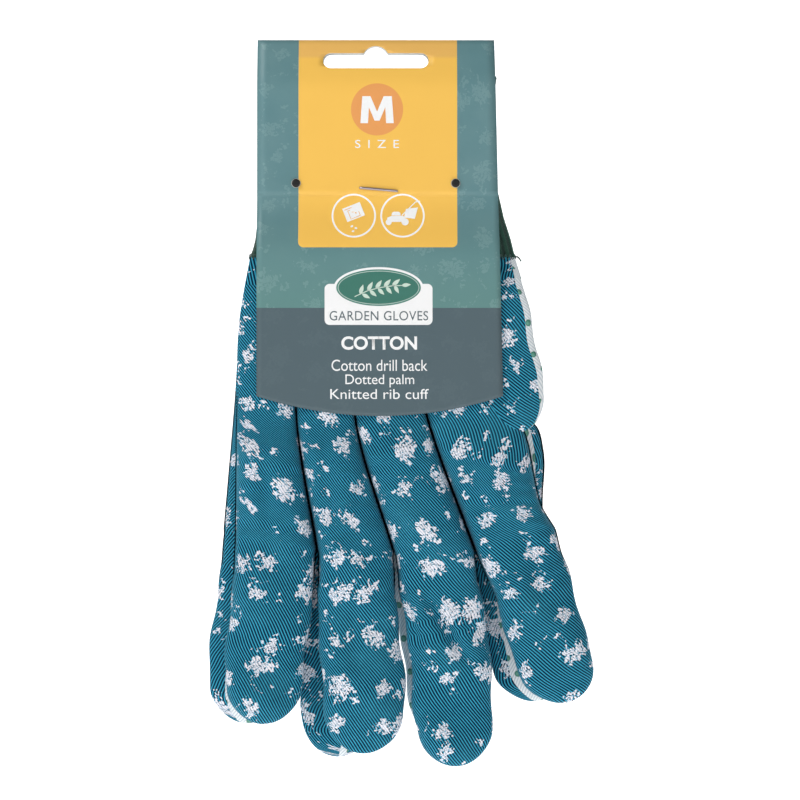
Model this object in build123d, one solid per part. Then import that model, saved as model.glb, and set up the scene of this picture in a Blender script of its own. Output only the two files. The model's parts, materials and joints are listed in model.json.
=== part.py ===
from build123d import *
import math
import os

# A pair of cotton gardening gloves, packed palm to palm and hung by a folded header card.
# Millimetres, +Z up, the gloves hang fingers down, the front of the pack faces -Y.
# The origin is the centre of the hang slot, midway between the two gloves.

# Header card
card_stock = 0.45            # thickness of the printed card
card_left = -37.8            # straight left edge
card_top_width = 75.6
card_bottom_width = 78.2
card_top = 7.0               # height of the fold above the hang slot
card_side_length = 114.0     # fold to the lower corners
card_bottom_bulge = 6.3      # how far the curved lower edge drops below the corners
fold_half_gap = 0.75         # half of the gap inside the card just below the fold
fold_height = 1.2            # height of the rounded fold
crease_drop = 50.4           # from the fold down to where the loose flaps bend
crease_gap = 0.2             # slit that frees each flap from the upper card
step_margin = 1.6            # flat card below the crease, before it steps out over the hands

# Hang slot: a straight bar with a raised middle for a single hook
slot_width = 33.6
slot_height = 4.9
slot_bump_width = 8.6
slot_bump_rise = 4.8         # top of the raised middle above the slot's centre

# Fasteners through the card and both cuffs
staple_wire = 0.8
staple_crown = 12.7
staple_drop = 48.2           # from the fold down to the staple
staple_tilt = 5.0
staple_shift = 0.9           # to the right of the slot's middle
staple_clinch = 4.2          # length of each leg folded in behind the card
tag_pin_spacing = 50.8
tag_pin_drop = 46.2          # from the fold down to the pins
tag_pin_head = 2.7
tag_pin_shank = 1.3
tag_pin_bar = 9.0            # cross bar behind the card
tag_pin_head_thickness = 0.9
hole_clearance = 0.15        # all round a wire or a shank in card and knitting

# Rib-knit cuffs
cuff_drop = 11.9             # from the fold down to the cuffs' rolled edges
cuff_length = 57.8           # down to the wrist seam
cuff_top_left = -37.2
cuff_top_right = 38.4
cuff_bottom_left = -40.2
cuff_bottom_right = 44.4
cuff_near_face = 0.45        # distance from the middle of the pack
cuff_thickness = 2.5
knit_wall = 1.0
hem_height = 1.7
hem_roll = 0.3               # how far the rolled edge stands out
seam_height = 1.5
seam_stand = 0.6             # how far the wrist seam stands out of the cuff
seam_lap = 0.3               # how far it reaches over the edge of the hand's back layer

# Cloth hands and fingers, each a back layer and a palm layer sewn edge to edge
half_pair_gap = 0.3          # from the middle of the pack to each glove
layer_depth = 2.95           # one layer, from its seam to its outer face
cloth = 1.0                  # wall of a layer
seam_rim = 1.2               # width of the sewn edge
hand_clearance = 0.3         # between the gloves and the card
root_gap = 0.3               # slit between a finger and the hand
hand_side_drop = 18.0        # height over which the wrist widens into the hand
index_flare = 3.6            # how far the index finger's root stands out past the hand's side
tip_round = 0.42             # corner radius at a finger tip, as a share of its width
mouth_depth = 4.0            # passage between the hand and each finger

# Middle of the root as x and drop below the wrist seam, lean from straight down in degrees,
# length, width at the root and at the tip
right_fingers = {
    "little": (-32.0, 90.8, -4.7, 57.5, 25.6, 24.2),
    "ring": (-6.5, 93.3, 3.0, 63.5, 24.2, 25.4),
    "middle": (18.5, 94.3, 6.5, 68.5, 24.4, 25.0),
    "index": (44.8, 90.3, 18.5, 53.5, 26.0, 24.4),
}
left_fingers = {
    "little": (-36.6, 88.3, -6.3, 60.0, 24.8, 24.2),
    "ring": (-10.9, 93.3, -1.5, 67.0, 24.2, 24.6),
    "middle": (15.6, 94.3, 9.0, 62.0, 24.2, 24.6),
    "index": (41.8, 89.8, 12.0, 53.0, 24.6, 24.4),
}
hand_widening = {"right": (2.6, 0.6), "left": (4.0, 0.2)}

# Thumbs: a straight tube with round ends that swings about the middle of its upper end
thumb_pivot_x = 34.0
thumb_web = 3.4              # hand cloth left between the wrist seam and the thumb's root
thumb_lean = {"right": 8.0, "left": 6.0}
thumb_straight = {"right": 26.0, "left": 25.0}
thumb_width = 25.0
thumb_swing = 30.0           # how far the thumb spreads outwards
thumb_mouth_width = 13.0

# Heights
crease_height = card_top - crease_drop
staple_height = card_top - staple_drop
tag_pin_height = card_top - tag_pin_drop
cuff_top = card_top - cuff_drop
cuff_bottom = cuff_top - cuff_length
thumb_pivot_z = cuff_bottom - thumb_web - thumb_width / 2

# Distances from the middle of the pack
hand_far_face = half_pair_gap + 2 * layer_depth
hand_seam_face = half_pair_gap + layer_depth
cuff_far_face = cuff_near_face + cuff_thickness
seam_far_face = max(cuff_far_face + seam_stand, hand_seam_face + seam_lap)
card_wide_face = hand_far_face + hand_clearance + card_stock
card_narrow_face = cuff_far_face + hem_roll + hand_clearance / 2 + card_stock
card_step_top = crease_height - step_margin
card_step_bottom = cuff_bottom + seam_height


def between(outline, start, end):
    """Solid of an outline in the XZ plane, from y = start to y = end."""
    low, high = min(start, end), max(start, end)
    return Pos(0, high, 0) * extrude(Plane.XZ * outline, high - low)


def polygon(points):
    return make_face(Polyline(*points, close=True))


def save(name, solid):
    export_step(solid, f"parts/{name}.step")


def card_outline():
    low = card_top - card_side_length
    right_low = card_left + card_bottom_width
    middle_low = ((card_left + right_low) / 2, low - card_bottom_bulge)
    return make_face([
        Line((card_left, low), (card_left, card_top)),
        Line((card_left, card_top), (card_left + card_top_width, card_top)),
        Line((card_left + card_top_width, card_top), (right_low, low)),
        ThreePointArc((right_low, low), middle_low, (card_left, low)),
    ])


def hang_slot():
    bar = SlotOverall(slot_width, slot_height)
    neck = slot_bump_rise - slot_bump_width / 2
    bump = Pos(0, neck) * Circle(slot_bump_width / 2)
    return bar + bump


def card_sheet():
    """The whole card in its folded shape, before the flaps are parted from it."""
    low = card_top - card_side_length - 3 * card_bottom_bulge
    side = [
        (card_wide_face, low),
        (card_wide_face, card_step_bottom),
        (card_narrow_face, card_step_top),
        (card_narrow_face, cuff_top + hem_roll),
        (fold_half_gap + card_stock, card_top - fold_height),
    ]
    far_side = Polyline(*side)
    near_side = Polyline(*[(-y, z) for y, z in side])
    fold = ThreePointArc(side[-1], (0, card_top), (-side[-1][0], side[-1][1]))
    base = Line((-card_wide_face, low), (card_wide_face, low))
    outer = make_face([far_side, fold, near_side, base])
    inner = offset(outer, amount=-card_stock, kind=Kind.INTERSECTION)
    section = Plane.YZ * (outer - inner)
    width = 4 * card_bottom_width
    sheet = Pos(-width / 2, 0, 0) * extrude(section, width)
    return sheet & between(card_outline(), -2 * card_wide_face, 2 * card_wide_face)


def staple_legs():
    """The two places where the staple goes through, as (x, z)."""
    reach = (staple_crown - staple_wire) / 2
    tilt = math.radians(-staple_tilt)
    spots = [(side * reach * math.cos(tilt), side * reach * math.sin(tilt)) for side in (-1, 1)]
    return [(staple_shift + x, staple_height + z) for x, z in spots]


def tag_pin_places():
    return [(side * tag_pin_spacing / 2, tag_pin_height) for side in (-1, 1)]


def fastener_holes():
    wires = [Pos(*p) * Circle(staple_wire / 2 + hole_clearance) for p in staple_legs()]
    pins = [Pos(*p) * Circle(tag_pin_shank / 2 + hole_clearance) for p in tag_pin_places()]
    return between(Sketch() + wires + pins, -2 * card_wide_face, 2 * card_wide_face)


def make_card():
    reach = 4 * card_side_length
    sheet = card_sheet() - fastener_holes()
    sheet -= between(hang_slot(), -2 * card_wide_face, 2 * card_wide_face)
    upper = Pos(0, 0, crease_height + reach / 2) * Box(reach, reach, reach)
    save("header_card", sheet & upper)
    lower = Pos(0, 0, crease_height - crease_gap - reach / 2) * Box(reach, reach, reach)
    for name, side in (("card_front_flap", -1), ("card_back_flap", 1)):
        half = Pos(0, side * reach / 2, 0) * Box(reach, reach, 2 * reach)
        save(name, sheet & lower & half)


def make_staple():
    """Wire crown on the front of the card, legs folded inwards on its back."""
    left, right = staple_legs()
    front = -card_narrow_face - staple_wire / 2
    back = card_narrow_face + staple_wire / 2
    span = Vector(right[0] - left[0], 0, right[1] - left[1]).normalized()
    corners = [Vector(left[0], front, left[1]), Vector(right[0], front, right[1])]
    ends = [Vector(left[0], back, left[1]), Vector(right[0], back, right[1])]
    tips = [ends[0] + span * staple_clinch, ends[1] - span * staple_clinch]
    path = FilletPolyline(tips[0], ends[0], corners[0], corners[1], ends[1], tips[1],
                          radius=staple_wire)
    start = Plane(origin=path @ 0, z_dir=path % 0)
    save("staple", sweep(start * Circle(staple_wire / 2), path=path))


def make_tag_pins():
    for name, (x, z) in zip(("tag_pin_left", "tag_pin_right"), tag_pin_places()):
        front = -card_narrow_face
        back = card_narrow_face + tag_pin_shank / 2
        head = between(Pos(x, z) * Circle(tag_pin_head / 2), front - tag_pin_head_thickness, front)
        head = fillet(head.edges().group_by(Axis.Y)[0], tag_pin_head_thickness * 0.6)
        shank = between(Pos(x, z) * Circle(tag_pin_shank / 2), front, back)
        bar = Pos(x, back, z) * Rot(0, 90, 0) * Cylinder(tag_pin_shank / 2, tag_pin_bar)
        save(name, head + shank + bar)


def cuff_outline(grow=0.0):
    return polygon([
        (cuff_top_left - grow, cuff_top), (cuff_top_right + grow, cuff_top),
        (cuff_bottom_right + grow, cuff_bottom), (cuff_bottom_left - grow, cuff_bottom),
    ])


def make_cuff(glove, side):
    """A flattened knitted tube with a rolled edge above and the overlock seam below."""
    near, far = side * cuff_near_face, side * cuff_far_face
    tube = between(cuff_outline(), near, far)
    inside = between(cuff_outline(-knit_wall), near + side * knit_wall, far - side * knit_wall)
    cuff = tube - inside - fastener_holes()
    save(f"{glove}_cuff", cuff)
    tall = cuff_top - cuff_bottom
    hem_zone = Pos(0, 0, cuff_top - hem_height / 2) * Box(4 * tall, 4 * tall, hem_height)
    hem = between(cuff_outline(hem_roll), near - side * hem_roll, far + side * hem_roll) & hem_zone
    save(f"{glove}_cuff_hem", hem - tube)
    seam_zone = Pos(0, 0, cuff_bottom + seam_height / 2) * Box(4 * tall, 4 * tall, seam_height)
    seam = between(cuff_outline(seam_stand), near - side * hem_roll, side * seam_far_face)
    save(f"{glove}_wrist_seam", (seam & seam_zone) - tube)


def finger_place(finger):
    """The middle of a finger's root: local x runs along the root, local y up the finger."""
    x, drop, lean = finger[:3]
    return Pos(x, cuff_bottom - drop) * Rot(0, 0, lean)


def finger_outline(finger):
    length, root_width, tip_width = finger[3:]
    blank = polygon([
        (-root_width / 2, 0), (root_width / 2, 0),
        (tip_width / 2, -length), (-tip_width / 2, -length),
    ])
    return fillet(blank.vertices().sort_by(Axis.Y)[:2], tip_round * tip_width)


def finger_mouth(finger):
    """The passage at a finger's root, reaching into the hand and into the finger."""
    return Rectangle(finger[4] - 2 * seam_rim, 2 * mouth_depth)


def root_corners(finger):
    """The hand's two corners just above a finger's root, left then right, as (x, z)."""
    half = finger[4] / 2
    spots = [finger_place(finger) * Pos(side * half, root_gap) for side in (-1, 1)]
    return [(spot.position.X, spot.position.Y) for spot in spots]


def thumb_outline(glove, swing, grow=0.0):
    lean = thumb_lean[glove] + swing
    straight = thumb_straight[glove]
    middle = Rot(0, 0, lean) * Pos(0, -straight / 2) * Rot(0, 0, 90)
    return middle * SlotCenterToCenter(straight, thumb_width + 2 * grow)


def thumb_sweep(glove):
    """All that the thumb covers as it swings, with the slit round it."""
    reach = thumb_straight[glove] + thumb_width / 2 + root_gap
    first, last = thumb_lean[glove] - 90, thumb_lean[glove] + thumb_swing - 90
    edge = [(reach * math.cos(math.radians(a)), reach * math.sin(math.radians(a)))
            for a in (first, (first + last) / 2, last)]
    fan = make_face([Line((0, 0), edge[0]), ThreePointArc(*edge), Line(edge[2], (0, 0))])
    return fan + [thumb_outline(glove, swing, root_gap) for swing in (0, thumb_swing)]


def hand_outline(glove, fingers):
    left_grow, right_grow = hand_widening[glove]
    points = [(cuff_bottom_left - seam_stand, cuff_bottom),
              (cuff_bottom_left - left_grow, cuff_bottom - hand_side_drop)]
    for finger in fingers.values():
        points += root_corners(finger)
    thumb_reach = thumb_straight[glove] + thumb_width / 2
    below_thumb = points[-1][0] - index_flare
    points += [(below_thumb, thumb_pivot_z - thumb_reach * 1.3),
               (below_thumb, thumb_pivot_z - thumb_reach * 0.85),
               (cuff_bottom_right + right_grow, thumb_pivot_z),
               (cuff_bottom_right + right_grow, cuff_bottom)]
    return polygon(points)


def layer(outline, pocket, seam_face, outer_face):
    """One cloth layer: a shallow tray whose rim is sewn at the seam face."""
    depth = outer_face - seam_face
    inside = seam_face + depth * (layer_depth - cloth) / layer_depth
    return between(outline, seam_face, outer_face) - between(pocket, seam_face, inside)


def save_layers(name, outline, pocket, side):
    seam = side * hand_seam_face
    save(f"{name}_back", layer(outline, pocket, seam, side * hand_far_face))
    save(f"{name}_palm", layer(outline, pocket, seam, side * half_pair_gap))


def make_glove(glove, side, fingers):
    make_cuff(glove, side)
    pivot = Pos(thumb_pivot_x, thumb_pivot_z)
    thumb_mouth = pivot * Pos(-thumb_width / 2, 0) * Rectangle(2 * mouth_depth, thumb_mouth_width)
    whole_hand = hand_outline(glove, fingers) - pivot * thumb_sweep(glove)
    hand_pocket = offset(whole_hand, amount=-seam_rim, kind=Kind.INTERSECTION)
    wrist_mouth = Pos((cuff_bottom_left + cuff_bottom_right) / 2, cuff_bottom)
    wrist_width = cuff_bottom_right - cuff_bottom_left - 2 * (knit_wall + seam_rim)
    hand_pocket += wrist_mouth * Rectangle(wrist_width, 2 * mouth_depth)
    hand_pocket += thumb_mouth
    for name, finger in fingers.items():
        place = finger_place(finger)
        outline = place * finger_outline(finger)
        pocket = offset(outline, amount=-seam_rim, kind=Kind.INTERSECTION)
        mouth = place * finger_mouth(finger)
        save_layers(f"{glove}_{name}", outline, pocket + mouth, side)
        hand_pocket += mouth
    save_layers(f"{glove}_hand", whole_hand, hand_pocket, side)
    thumb = pivot * thumb_outline(glove, 0)
    thumb_pocket = pivot * thumb_outline(glove, 0, -seam_rim)
    save_layers(f"{glove}_thumb", thumb, thumb_pocket + (thumb_mouth & thumb), side)


os.makedirs("parts", exist_ok=True)
make_card()
make_staple()
make_tag_pins()
make_glove("right", -1, right_fingers)
make_glove("left", 1, left_fingers)
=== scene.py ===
import json
import math

import bmesh
import bpy
import numpy as np
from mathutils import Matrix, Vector


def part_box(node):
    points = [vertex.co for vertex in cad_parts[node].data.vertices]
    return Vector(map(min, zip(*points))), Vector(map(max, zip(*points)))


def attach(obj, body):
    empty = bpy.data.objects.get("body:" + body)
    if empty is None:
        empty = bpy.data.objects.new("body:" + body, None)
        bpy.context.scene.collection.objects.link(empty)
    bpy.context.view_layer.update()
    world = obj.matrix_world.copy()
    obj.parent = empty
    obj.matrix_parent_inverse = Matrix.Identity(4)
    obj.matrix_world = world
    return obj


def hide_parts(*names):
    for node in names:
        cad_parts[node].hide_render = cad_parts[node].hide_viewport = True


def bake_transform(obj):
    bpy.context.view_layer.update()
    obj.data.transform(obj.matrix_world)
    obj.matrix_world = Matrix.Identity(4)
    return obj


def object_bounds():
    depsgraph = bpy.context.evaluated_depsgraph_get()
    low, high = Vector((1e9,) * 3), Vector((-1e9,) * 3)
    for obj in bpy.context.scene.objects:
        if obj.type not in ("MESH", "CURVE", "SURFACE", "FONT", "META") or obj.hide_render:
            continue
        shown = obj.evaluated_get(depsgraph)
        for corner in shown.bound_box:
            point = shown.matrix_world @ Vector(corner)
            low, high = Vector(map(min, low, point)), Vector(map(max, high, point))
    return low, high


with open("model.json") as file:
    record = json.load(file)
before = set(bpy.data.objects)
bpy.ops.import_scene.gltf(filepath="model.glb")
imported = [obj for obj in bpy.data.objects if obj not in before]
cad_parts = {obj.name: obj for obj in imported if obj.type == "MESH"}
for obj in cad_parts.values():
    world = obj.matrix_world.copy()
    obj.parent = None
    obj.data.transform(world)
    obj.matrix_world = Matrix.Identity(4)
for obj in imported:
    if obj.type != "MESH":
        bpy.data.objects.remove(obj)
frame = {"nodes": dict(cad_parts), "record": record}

# The CAD box, read before any piece is added, and a millimetre in metres
cad_low, cad_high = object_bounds()
mm = 0.001


# ---------------------------------------------------------------------------------------------
# Printed cotton drill: the teal cloth of the backs, fingers and thumbs. A steep twill of 0.85 mm
# lines, printed in white with ragged flowers of narrow petals, short stems and small buds. The
# white ink lies on top of the ridges. Both teal and white are painted darker in the twill's grooves
# and lighter on its ridges, painted shade and highlight, so the twill still shows faintly through the ink.
# ---------------------------------------------------------------------------------------------

pattern_unit = 100.0         # mm of cloth or card to one unit of its pattern map


def ink(red, green, blue):
    """A colour as a printer mixes it, 0 to 255, turned into the linear values the shaders use."""
    parts = [c / 255 for c in (red, green, blue)]
    return tuple(c / 12.92 if c < 0.04045 else ((c + 0.055) / 1.055) ** 2.4 for c in parts) + (1,)


def plug_in(tree, socket, value):
    if isinstance(value, bpy.types.NodeSocket):
        tree.links.new(value, socket)
    else:
        socket.default_value = value


def calc(tree, operation, *values):
    node = tree.nodes.new("ShaderNodeMath")
    node.operation = operation
    for socket, value in zip(node.inputs, values):
        plug_in(tree, socket, value)
    return node.outputs[0]


def two_tone(tree, share, first, second):
    """Colour that goes from the first to the second as the share goes from 0 to 1."""
    node = tree.nodes.new("ShaderNodeMix")
    node.data_type = "RGBA"
    plug_in(tree, node.inputs[0], share)
    plug_in(tree, node.inputs[6], first)
    plug_in(tree, node.inputs[7], second)
    return node.outputs[2]


def step_up(tree, value, low, high):
    """0 below low, 1 above high, and a soft ramp between them."""
    node = tree.nodes.new("ShaderNodeMapRange")
    node.interpolation_type = "SMOOTHSTEP"
    plug_in(tree, node.inputs["Value"], value)
    plug_in(tree, node.inputs["From Min"], low)
    plug_in(tree, node.inputs["From Max"], high)
    return node.outputs["Result"]


def fine_noise(tree, place, size, detail=2.0):
    node = tree.nodes.new("ShaderNodeTexNoise")
    tree.links.new(place, node.inputs["Vector"])
    node.inputs["Scale"].default_value = 1 / size
    node.inputs["Detail"].default_value = detail
    return node.outputs["Fac"]


def shader_group(name, takes, gives):
    """An empty node group with named sockets, and its input and output nodes."""
    group = bpy.data.node_groups.new(name, "ShaderNodeTree")
    for label, kind, value in takes:
        socket = group.interface.new_socket(label, in_out="INPUT", socket_type=kind)
        if value is not None:
            socket.default_value = value
    for label, kind in gives:
        group.interface.new_socket(label, in_out="OUTPUT", socket_type=kind)
    return group, group.nodes.new("NodeGroupInput").outputs, group.nodes.new("NodeGroupOutput").inputs


def place_group(tree, group, **values):
    node = tree.nodes.new("ShaderNodeGroup")
    node.node_tree = group
    for label, value in values.items():
        plug_in(tree, node.inputs[label.replace("_", " ")], value)
    return node.outputs


def new_finish(name):
    """A material with an empty Principled shader, and its pattern coordinates in millimetres."""
    finish = bpy.data.materials.new(name)
    finish.use_nodes = True
    tree = finish.node_tree
    shader = tree.nodes["Principled BSDF"]
    pattern = tree.nodes.new("ShaderNodeUVMap")
    pattern.uv_map = "pattern"
    scale = tree.nodes.new("ShaderNodeVectorMath")
    scale.operation = "SCALE"
    scale.inputs["Scale"].default_value = pattern_unit
    tree.links.new(pattern.outputs[0], scale.inputs[0])
    return finish, tree, shader, scale.outputs[0]


def raise_surface(tree, shader, height, distance, strength=1.0):
    bump = tree.nodes.new("ShaderNodeBump")
    bump.inputs["Distance"].default_value = distance
    bump.inputs["Strength"].default_value = strength
    tree.links.new(height, bump.inputs["Height"])
    tree.links.new(bump.outputs[0], shader.inputs["Normal"])


def split(tree, vector):
    node = tree.nodes.new("ShaderNodeSeparateXYZ")
    tree.links.new(vector, node.inputs[0])
    return node.outputs[0], node.outputs[1]


def make_twill():
    group, given, result = shader_group(
        "twill_weave",
        [("Pattern", "NodeSocketVector", None), ("Pitch", "NodeSocketFloat", 0.85),
         ("Lean", "NodeSocketFloat", 33.0)],
        [("Ridge", "NodeSocketFloat"), ("Yarn", "NodeSocketFloat"), ("Height", "NodeSocketFloat")])
    x, y = split(group, given["Pattern"])
    lean = calc(group, "RADIANS", given["Lean"])
    cosine, sine = calc(group, "COSINE", lean), calc(group, "SINE", lean)
    across = calc(group, "ADD", calc(group, "MULTIPLY", x, cosine), calc(group, "MULTIPLY", y, sine))
    along = calc(group, "SUBTRACT", calc(group, "MULTIPLY", x, sine), calc(group, "MULTIPLY", y, cosine))
    wander = calc(group, "MULTIPLY", fine_noise(group, given["Pattern"], 5.0), 1.1)
    turns = calc(group, "MULTIPLY", calc(group, "DIVIDE", across, given["Pitch"]), 2 * math.pi)
    ridge_wave = calc(group, "SINE", calc(group, "ADD", turns, wander))
    ridge = calc(group, "MULTIPLY_ADD", ridge_wave, 0.5, 0.5)
    beat = calc(group, "MULTIPLY_ADD", along, 2 * math.pi / 0.62, calc(group, "MULTIPLY", turns, 0.5))
    yarn = calc(group, "MULTIPLY_ADD", calc(group, "SINE", beat), 0.5, 0.5)
    height = calc(group, "MULTIPLY_ADD", yarn, 0.25, calc(group, "MULTIPLY", ridge, 0.75))
    group.links.new(ridge, result["Ridge"])
    group.links.new(yarn, result["Yarn"])
    group.links.new(height, result["Height"])
    return group


def make_flower_scatter():
    group, given, result = shader_group(
        "flower_scatter",
        [("Pattern", "NodeSocketVector", None), ("Spacing", "NodeSocketFloat", 12.6)],
        [("Print", "NodeSocketFloat")])
    ragged = fine_noise(group, given["Pattern"], 1.1, 3.0)
    speckle = fine_noise(group, given["Pattern"], 0.85, 2.0)
    blot = fine_noise(group, given["Pattern"], 3.0, 1.0)
    bent = group.nodes.new("ShaderNodeTexNoise")
    bent.noise_dimensions = "2D"
    bent.inputs["Scale"].default_value = 0.42
    bent.inputs["Detail"].default_value = 2.0
    group.links.new(given["Pattern"], bent.inputs["Vector"])
    drift = group.nodes.new("ShaderNodeVectorMath")
    drift.operation = "MULTIPLY_ADD"
    drift.inputs[1].default_value = (5.0, 5.0, 0)
    group.links.new(bent.outputs["Color"], drift.inputs[0])
    group.links.new(given["Pattern"], drift.inputs[2])
    place = drift.outputs[0]

    def spots(spacing, shift):
        """Scattered spots: distance in mm, angle about the spot, and three random shares."""
        moved = group.nodes.new("ShaderNodeVectorMath")
        moved.operation = "MULTIPLY_ADD"
        group.links.new(place, moved.inputs[0])
        ratio = calc(group, "DIVIDE", 1.0, spacing)
        group.links.new(ratio, moved.inputs[1])
        moved.inputs[2].default_value = (shift, shift * 1.7, 0)
        cells = group.nodes.new("ShaderNodeTexVoronoi")
        cells.voronoi_dimensions = "2D"
        cells.inputs["Scale"].default_value = 1.0
        cells.inputs["Randomness"].default_value = 0.62
        group.links.new(moved.outputs[0], cells.inputs["Vector"])
        gap = group.nodes.new("ShaderNodeVectorMath")
        gap.operation = "SUBTRACT"
        group.links.new(moved.outputs[0], gap.inputs[0])
        group.links.new(cells.outputs["Position"], gap.inputs[1])
        dx, dy = split(group, gap.outputs[0])
        chance = group.nodes.new("ShaderNodeSeparateColor")
        group.links.new(cells.outputs["Color"], chance.inputs[0])
        angle = calc(group, "MULTIPLY_ADD", chance.outputs[0], 2 * math.pi,
                     calc(group, "ARCTAN2", dy, dx))
        reach = calc(group, "SQRT", calc(group, "MULTIPLY_ADD", dx, dx, calc(group, "MULTIPLY", dy, dy)))
        return calc(group, "MULTIPLY", reach, spacing), angle, chance.outputs

    # whole flowers, longer one way than the other, with narrow ragged petals
    reach, angle, chance = spots(given["Spacing"], 0.0)
    long_way = calc(group, "MULTIPLY", reach, calc(group, "COSINE", angle))
    short_way = calc(group, "MULTIPLY", calc(group, "MULTIPLY", reach, calc(group, "SINE", angle)),
                     calc(group, "MULTIPLY_ADD", chance[1], 0.75, 1.0))
    oval = calc(group, "SQRT", calc(group, "MULTIPLY_ADD", long_way, long_way,
                                    calc(group, "MULTIPLY", short_way, short_way)))
    turn = calc(group, "MULTIPLY_ADD", calc(group, "ARCTAN2", short_way, long_way), 4.5,
                calc(group, "MULTIPLY", blot, 6.5))
    petals = calc(group, "ABSOLUTE", calc(group, "SINE", turn))
    size = calc(group, "MULTIPLY_ADD", calc(group, "POWER", chance[2], 1.6), 2.2, 2.3)
    edge = calc(group, "MULTIPLY", size, calc(group, "MULTIPLY_ADD", petals, 0.46, 0.62))
    edge = calc(group, "ADD", edge, calc(group, "MULTIPLY_ADD", ragged, 6.0, -3.0))
    flower = step_up(group, calc(group, "SUBTRACT", edge, oval), -0.15, 0.15)
    share = calc(group, "DIVIDE", oval, size)
    gaps = calc(group, "MULTIPLY_ADD", speckle, 1.0, -0.08)
    gaps = calc(group, "SUBTRACT", 1.0, step_up(group, calc(group, "SUBTRACT", petals, gaps), -0.10, 0.10))
    gaps = calc(group, "MULTIPLY", gaps, step_up(group, share, 0.10, 0.30))
    holes = step_up(group, calc(group, "SUBTRACT", speckle, 0.63), -0.03, 0.03)
    inked = calc(group, "SUBTRACT", 1.0, calc(group, "MAXIMUM", gaps, holes))
    flower = calc(group, "MULTIPLY", flower, inked)

    # short broken stems
    reach, angle, chance = spots(calc(group, "MULTIPLY", given["Spacing"], 0.9), 0.37)
    run = calc(group, "MULTIPLY", reach, calc(group, "COSINE", angle))
    rise = calc(group, "MULTIPLY", reach, calc(group, "SINE", angle))
    bow = calc(group, "MULTIPLY", calc(group, "MULTIPLY", run, run), 0.05)
    off = calc(group, "ABSOLUTE", calc(group, "SUBTRACT", rise, bow))
    thin = calc(group, "MULTIPLY_ADD", ragged, 3.4, -1.72)
    stem = step_up(group, calc(group, "SUBTRACT", thin, off), -0.10, 0.10)
    stem = calc(group, "MULTIPLY", stem, calc(group, "LESS_THAN", calc(group, "ABSOLUTE", run), 3.2))
    stem = calc(group, "MULTIPLY", stem, calc(group, "GREATER_THAN", chance[1], 0.55))

    # small buds
    reach, _, chance = spots(calc(group, "MULTIPLY", given["Spacing"], 0.55), 0.71)
    bud_edge = calc(group, "MULTIPLY_ADD", ragged, 6.0, -2.25)
    bud = step_up(group, calc(group, "SUBTRACT", bud_edge, reach), -0.1, 0.1)
    bud = calc(group, "MULTIPLY", bud, calc(group, "GREATER_THAN", chance[0], 0.66))
    both = calc(group, "MAXIMUM", calc(group, "MAXIMUM", flower, stem), bud)
    group.links.new(both, result["Print"])
    return group


twill_weave = make_twill()
flower_scatter = make_flower_scatter()


def make_printed_drill():
    finish, tree, shader, pattern = new_finish("printed_drill")
    weave = place_group(tree, twill_weave, Pattern=pattern)
    flowers = place_group(tree, flower_scatter, Pattern=pattern)["Print"]
    shade = fine_noise(tree, pattern, 22.0, 3.0)
    # Painted shade and highlight: the teal is painted near black in the twill's grooves and light on its
    # ridges.
    valley = two_tone(tree, step_up(tree, weave["Ridge"], 0.14, 0.66), ink(0, 30, 52), ink(2, 99, 130))
    ridge = two_tone(tree, step_up(tree, weave["Ridge"], 0.60, 0.95), valley, ink(64, 172, 203))
    worn = two_tone(tree, calc(tree, "MULTIPLY", step_up(tree, shade, 0.45, 0.8), 0.22),
                    ridge, ink(60, 140, 162))
    # Painted shade: the white ink is painted greyer in the twill's grooves and brightest on its ridges.
    white = two_tone(tree, step_up(tree, weave["Ridge"], 0.0, 0.5), ink(192, 202, 220), ink(248, 246, 252))
    colour = two_tone(tree, flowers, worn, white)
    tree.links.new(colour, shader.inputs["Base Color"])
    rough = calc(tree, "MULTIPLY_ADD", weave["Yarn"], 0.08, 0.80)
    tree.links.new(rough, shader.inputs["Roughness"])
    shader.inputs["Specular IOR Level"].default_value = 0.12
    shader.inputs["Sheen Weight"].default_value = 0.05
    shader.inputs["Sheen Roughness"].default_value = 0.5
    height = calc(tree, "MULTIPLY_ADD", flowers, 0.25, weave["Height"])
    raise_surface(tree, shader, height, 0.00012, 0.8)
    return finish


printed_drill = make_printed_drill()


# ---------------------------------------------------------------------------------------------
# Dotted cotton: the off-white cloth of the palms, a plain drill with small raised rubbery dots
# in green, 5.4 mm apart in straight staggered rows, that grip a handle.
# ---------------------------------------------------------------------------------------------

dot_pitch = 5.4
dot_radius = 1.05


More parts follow.
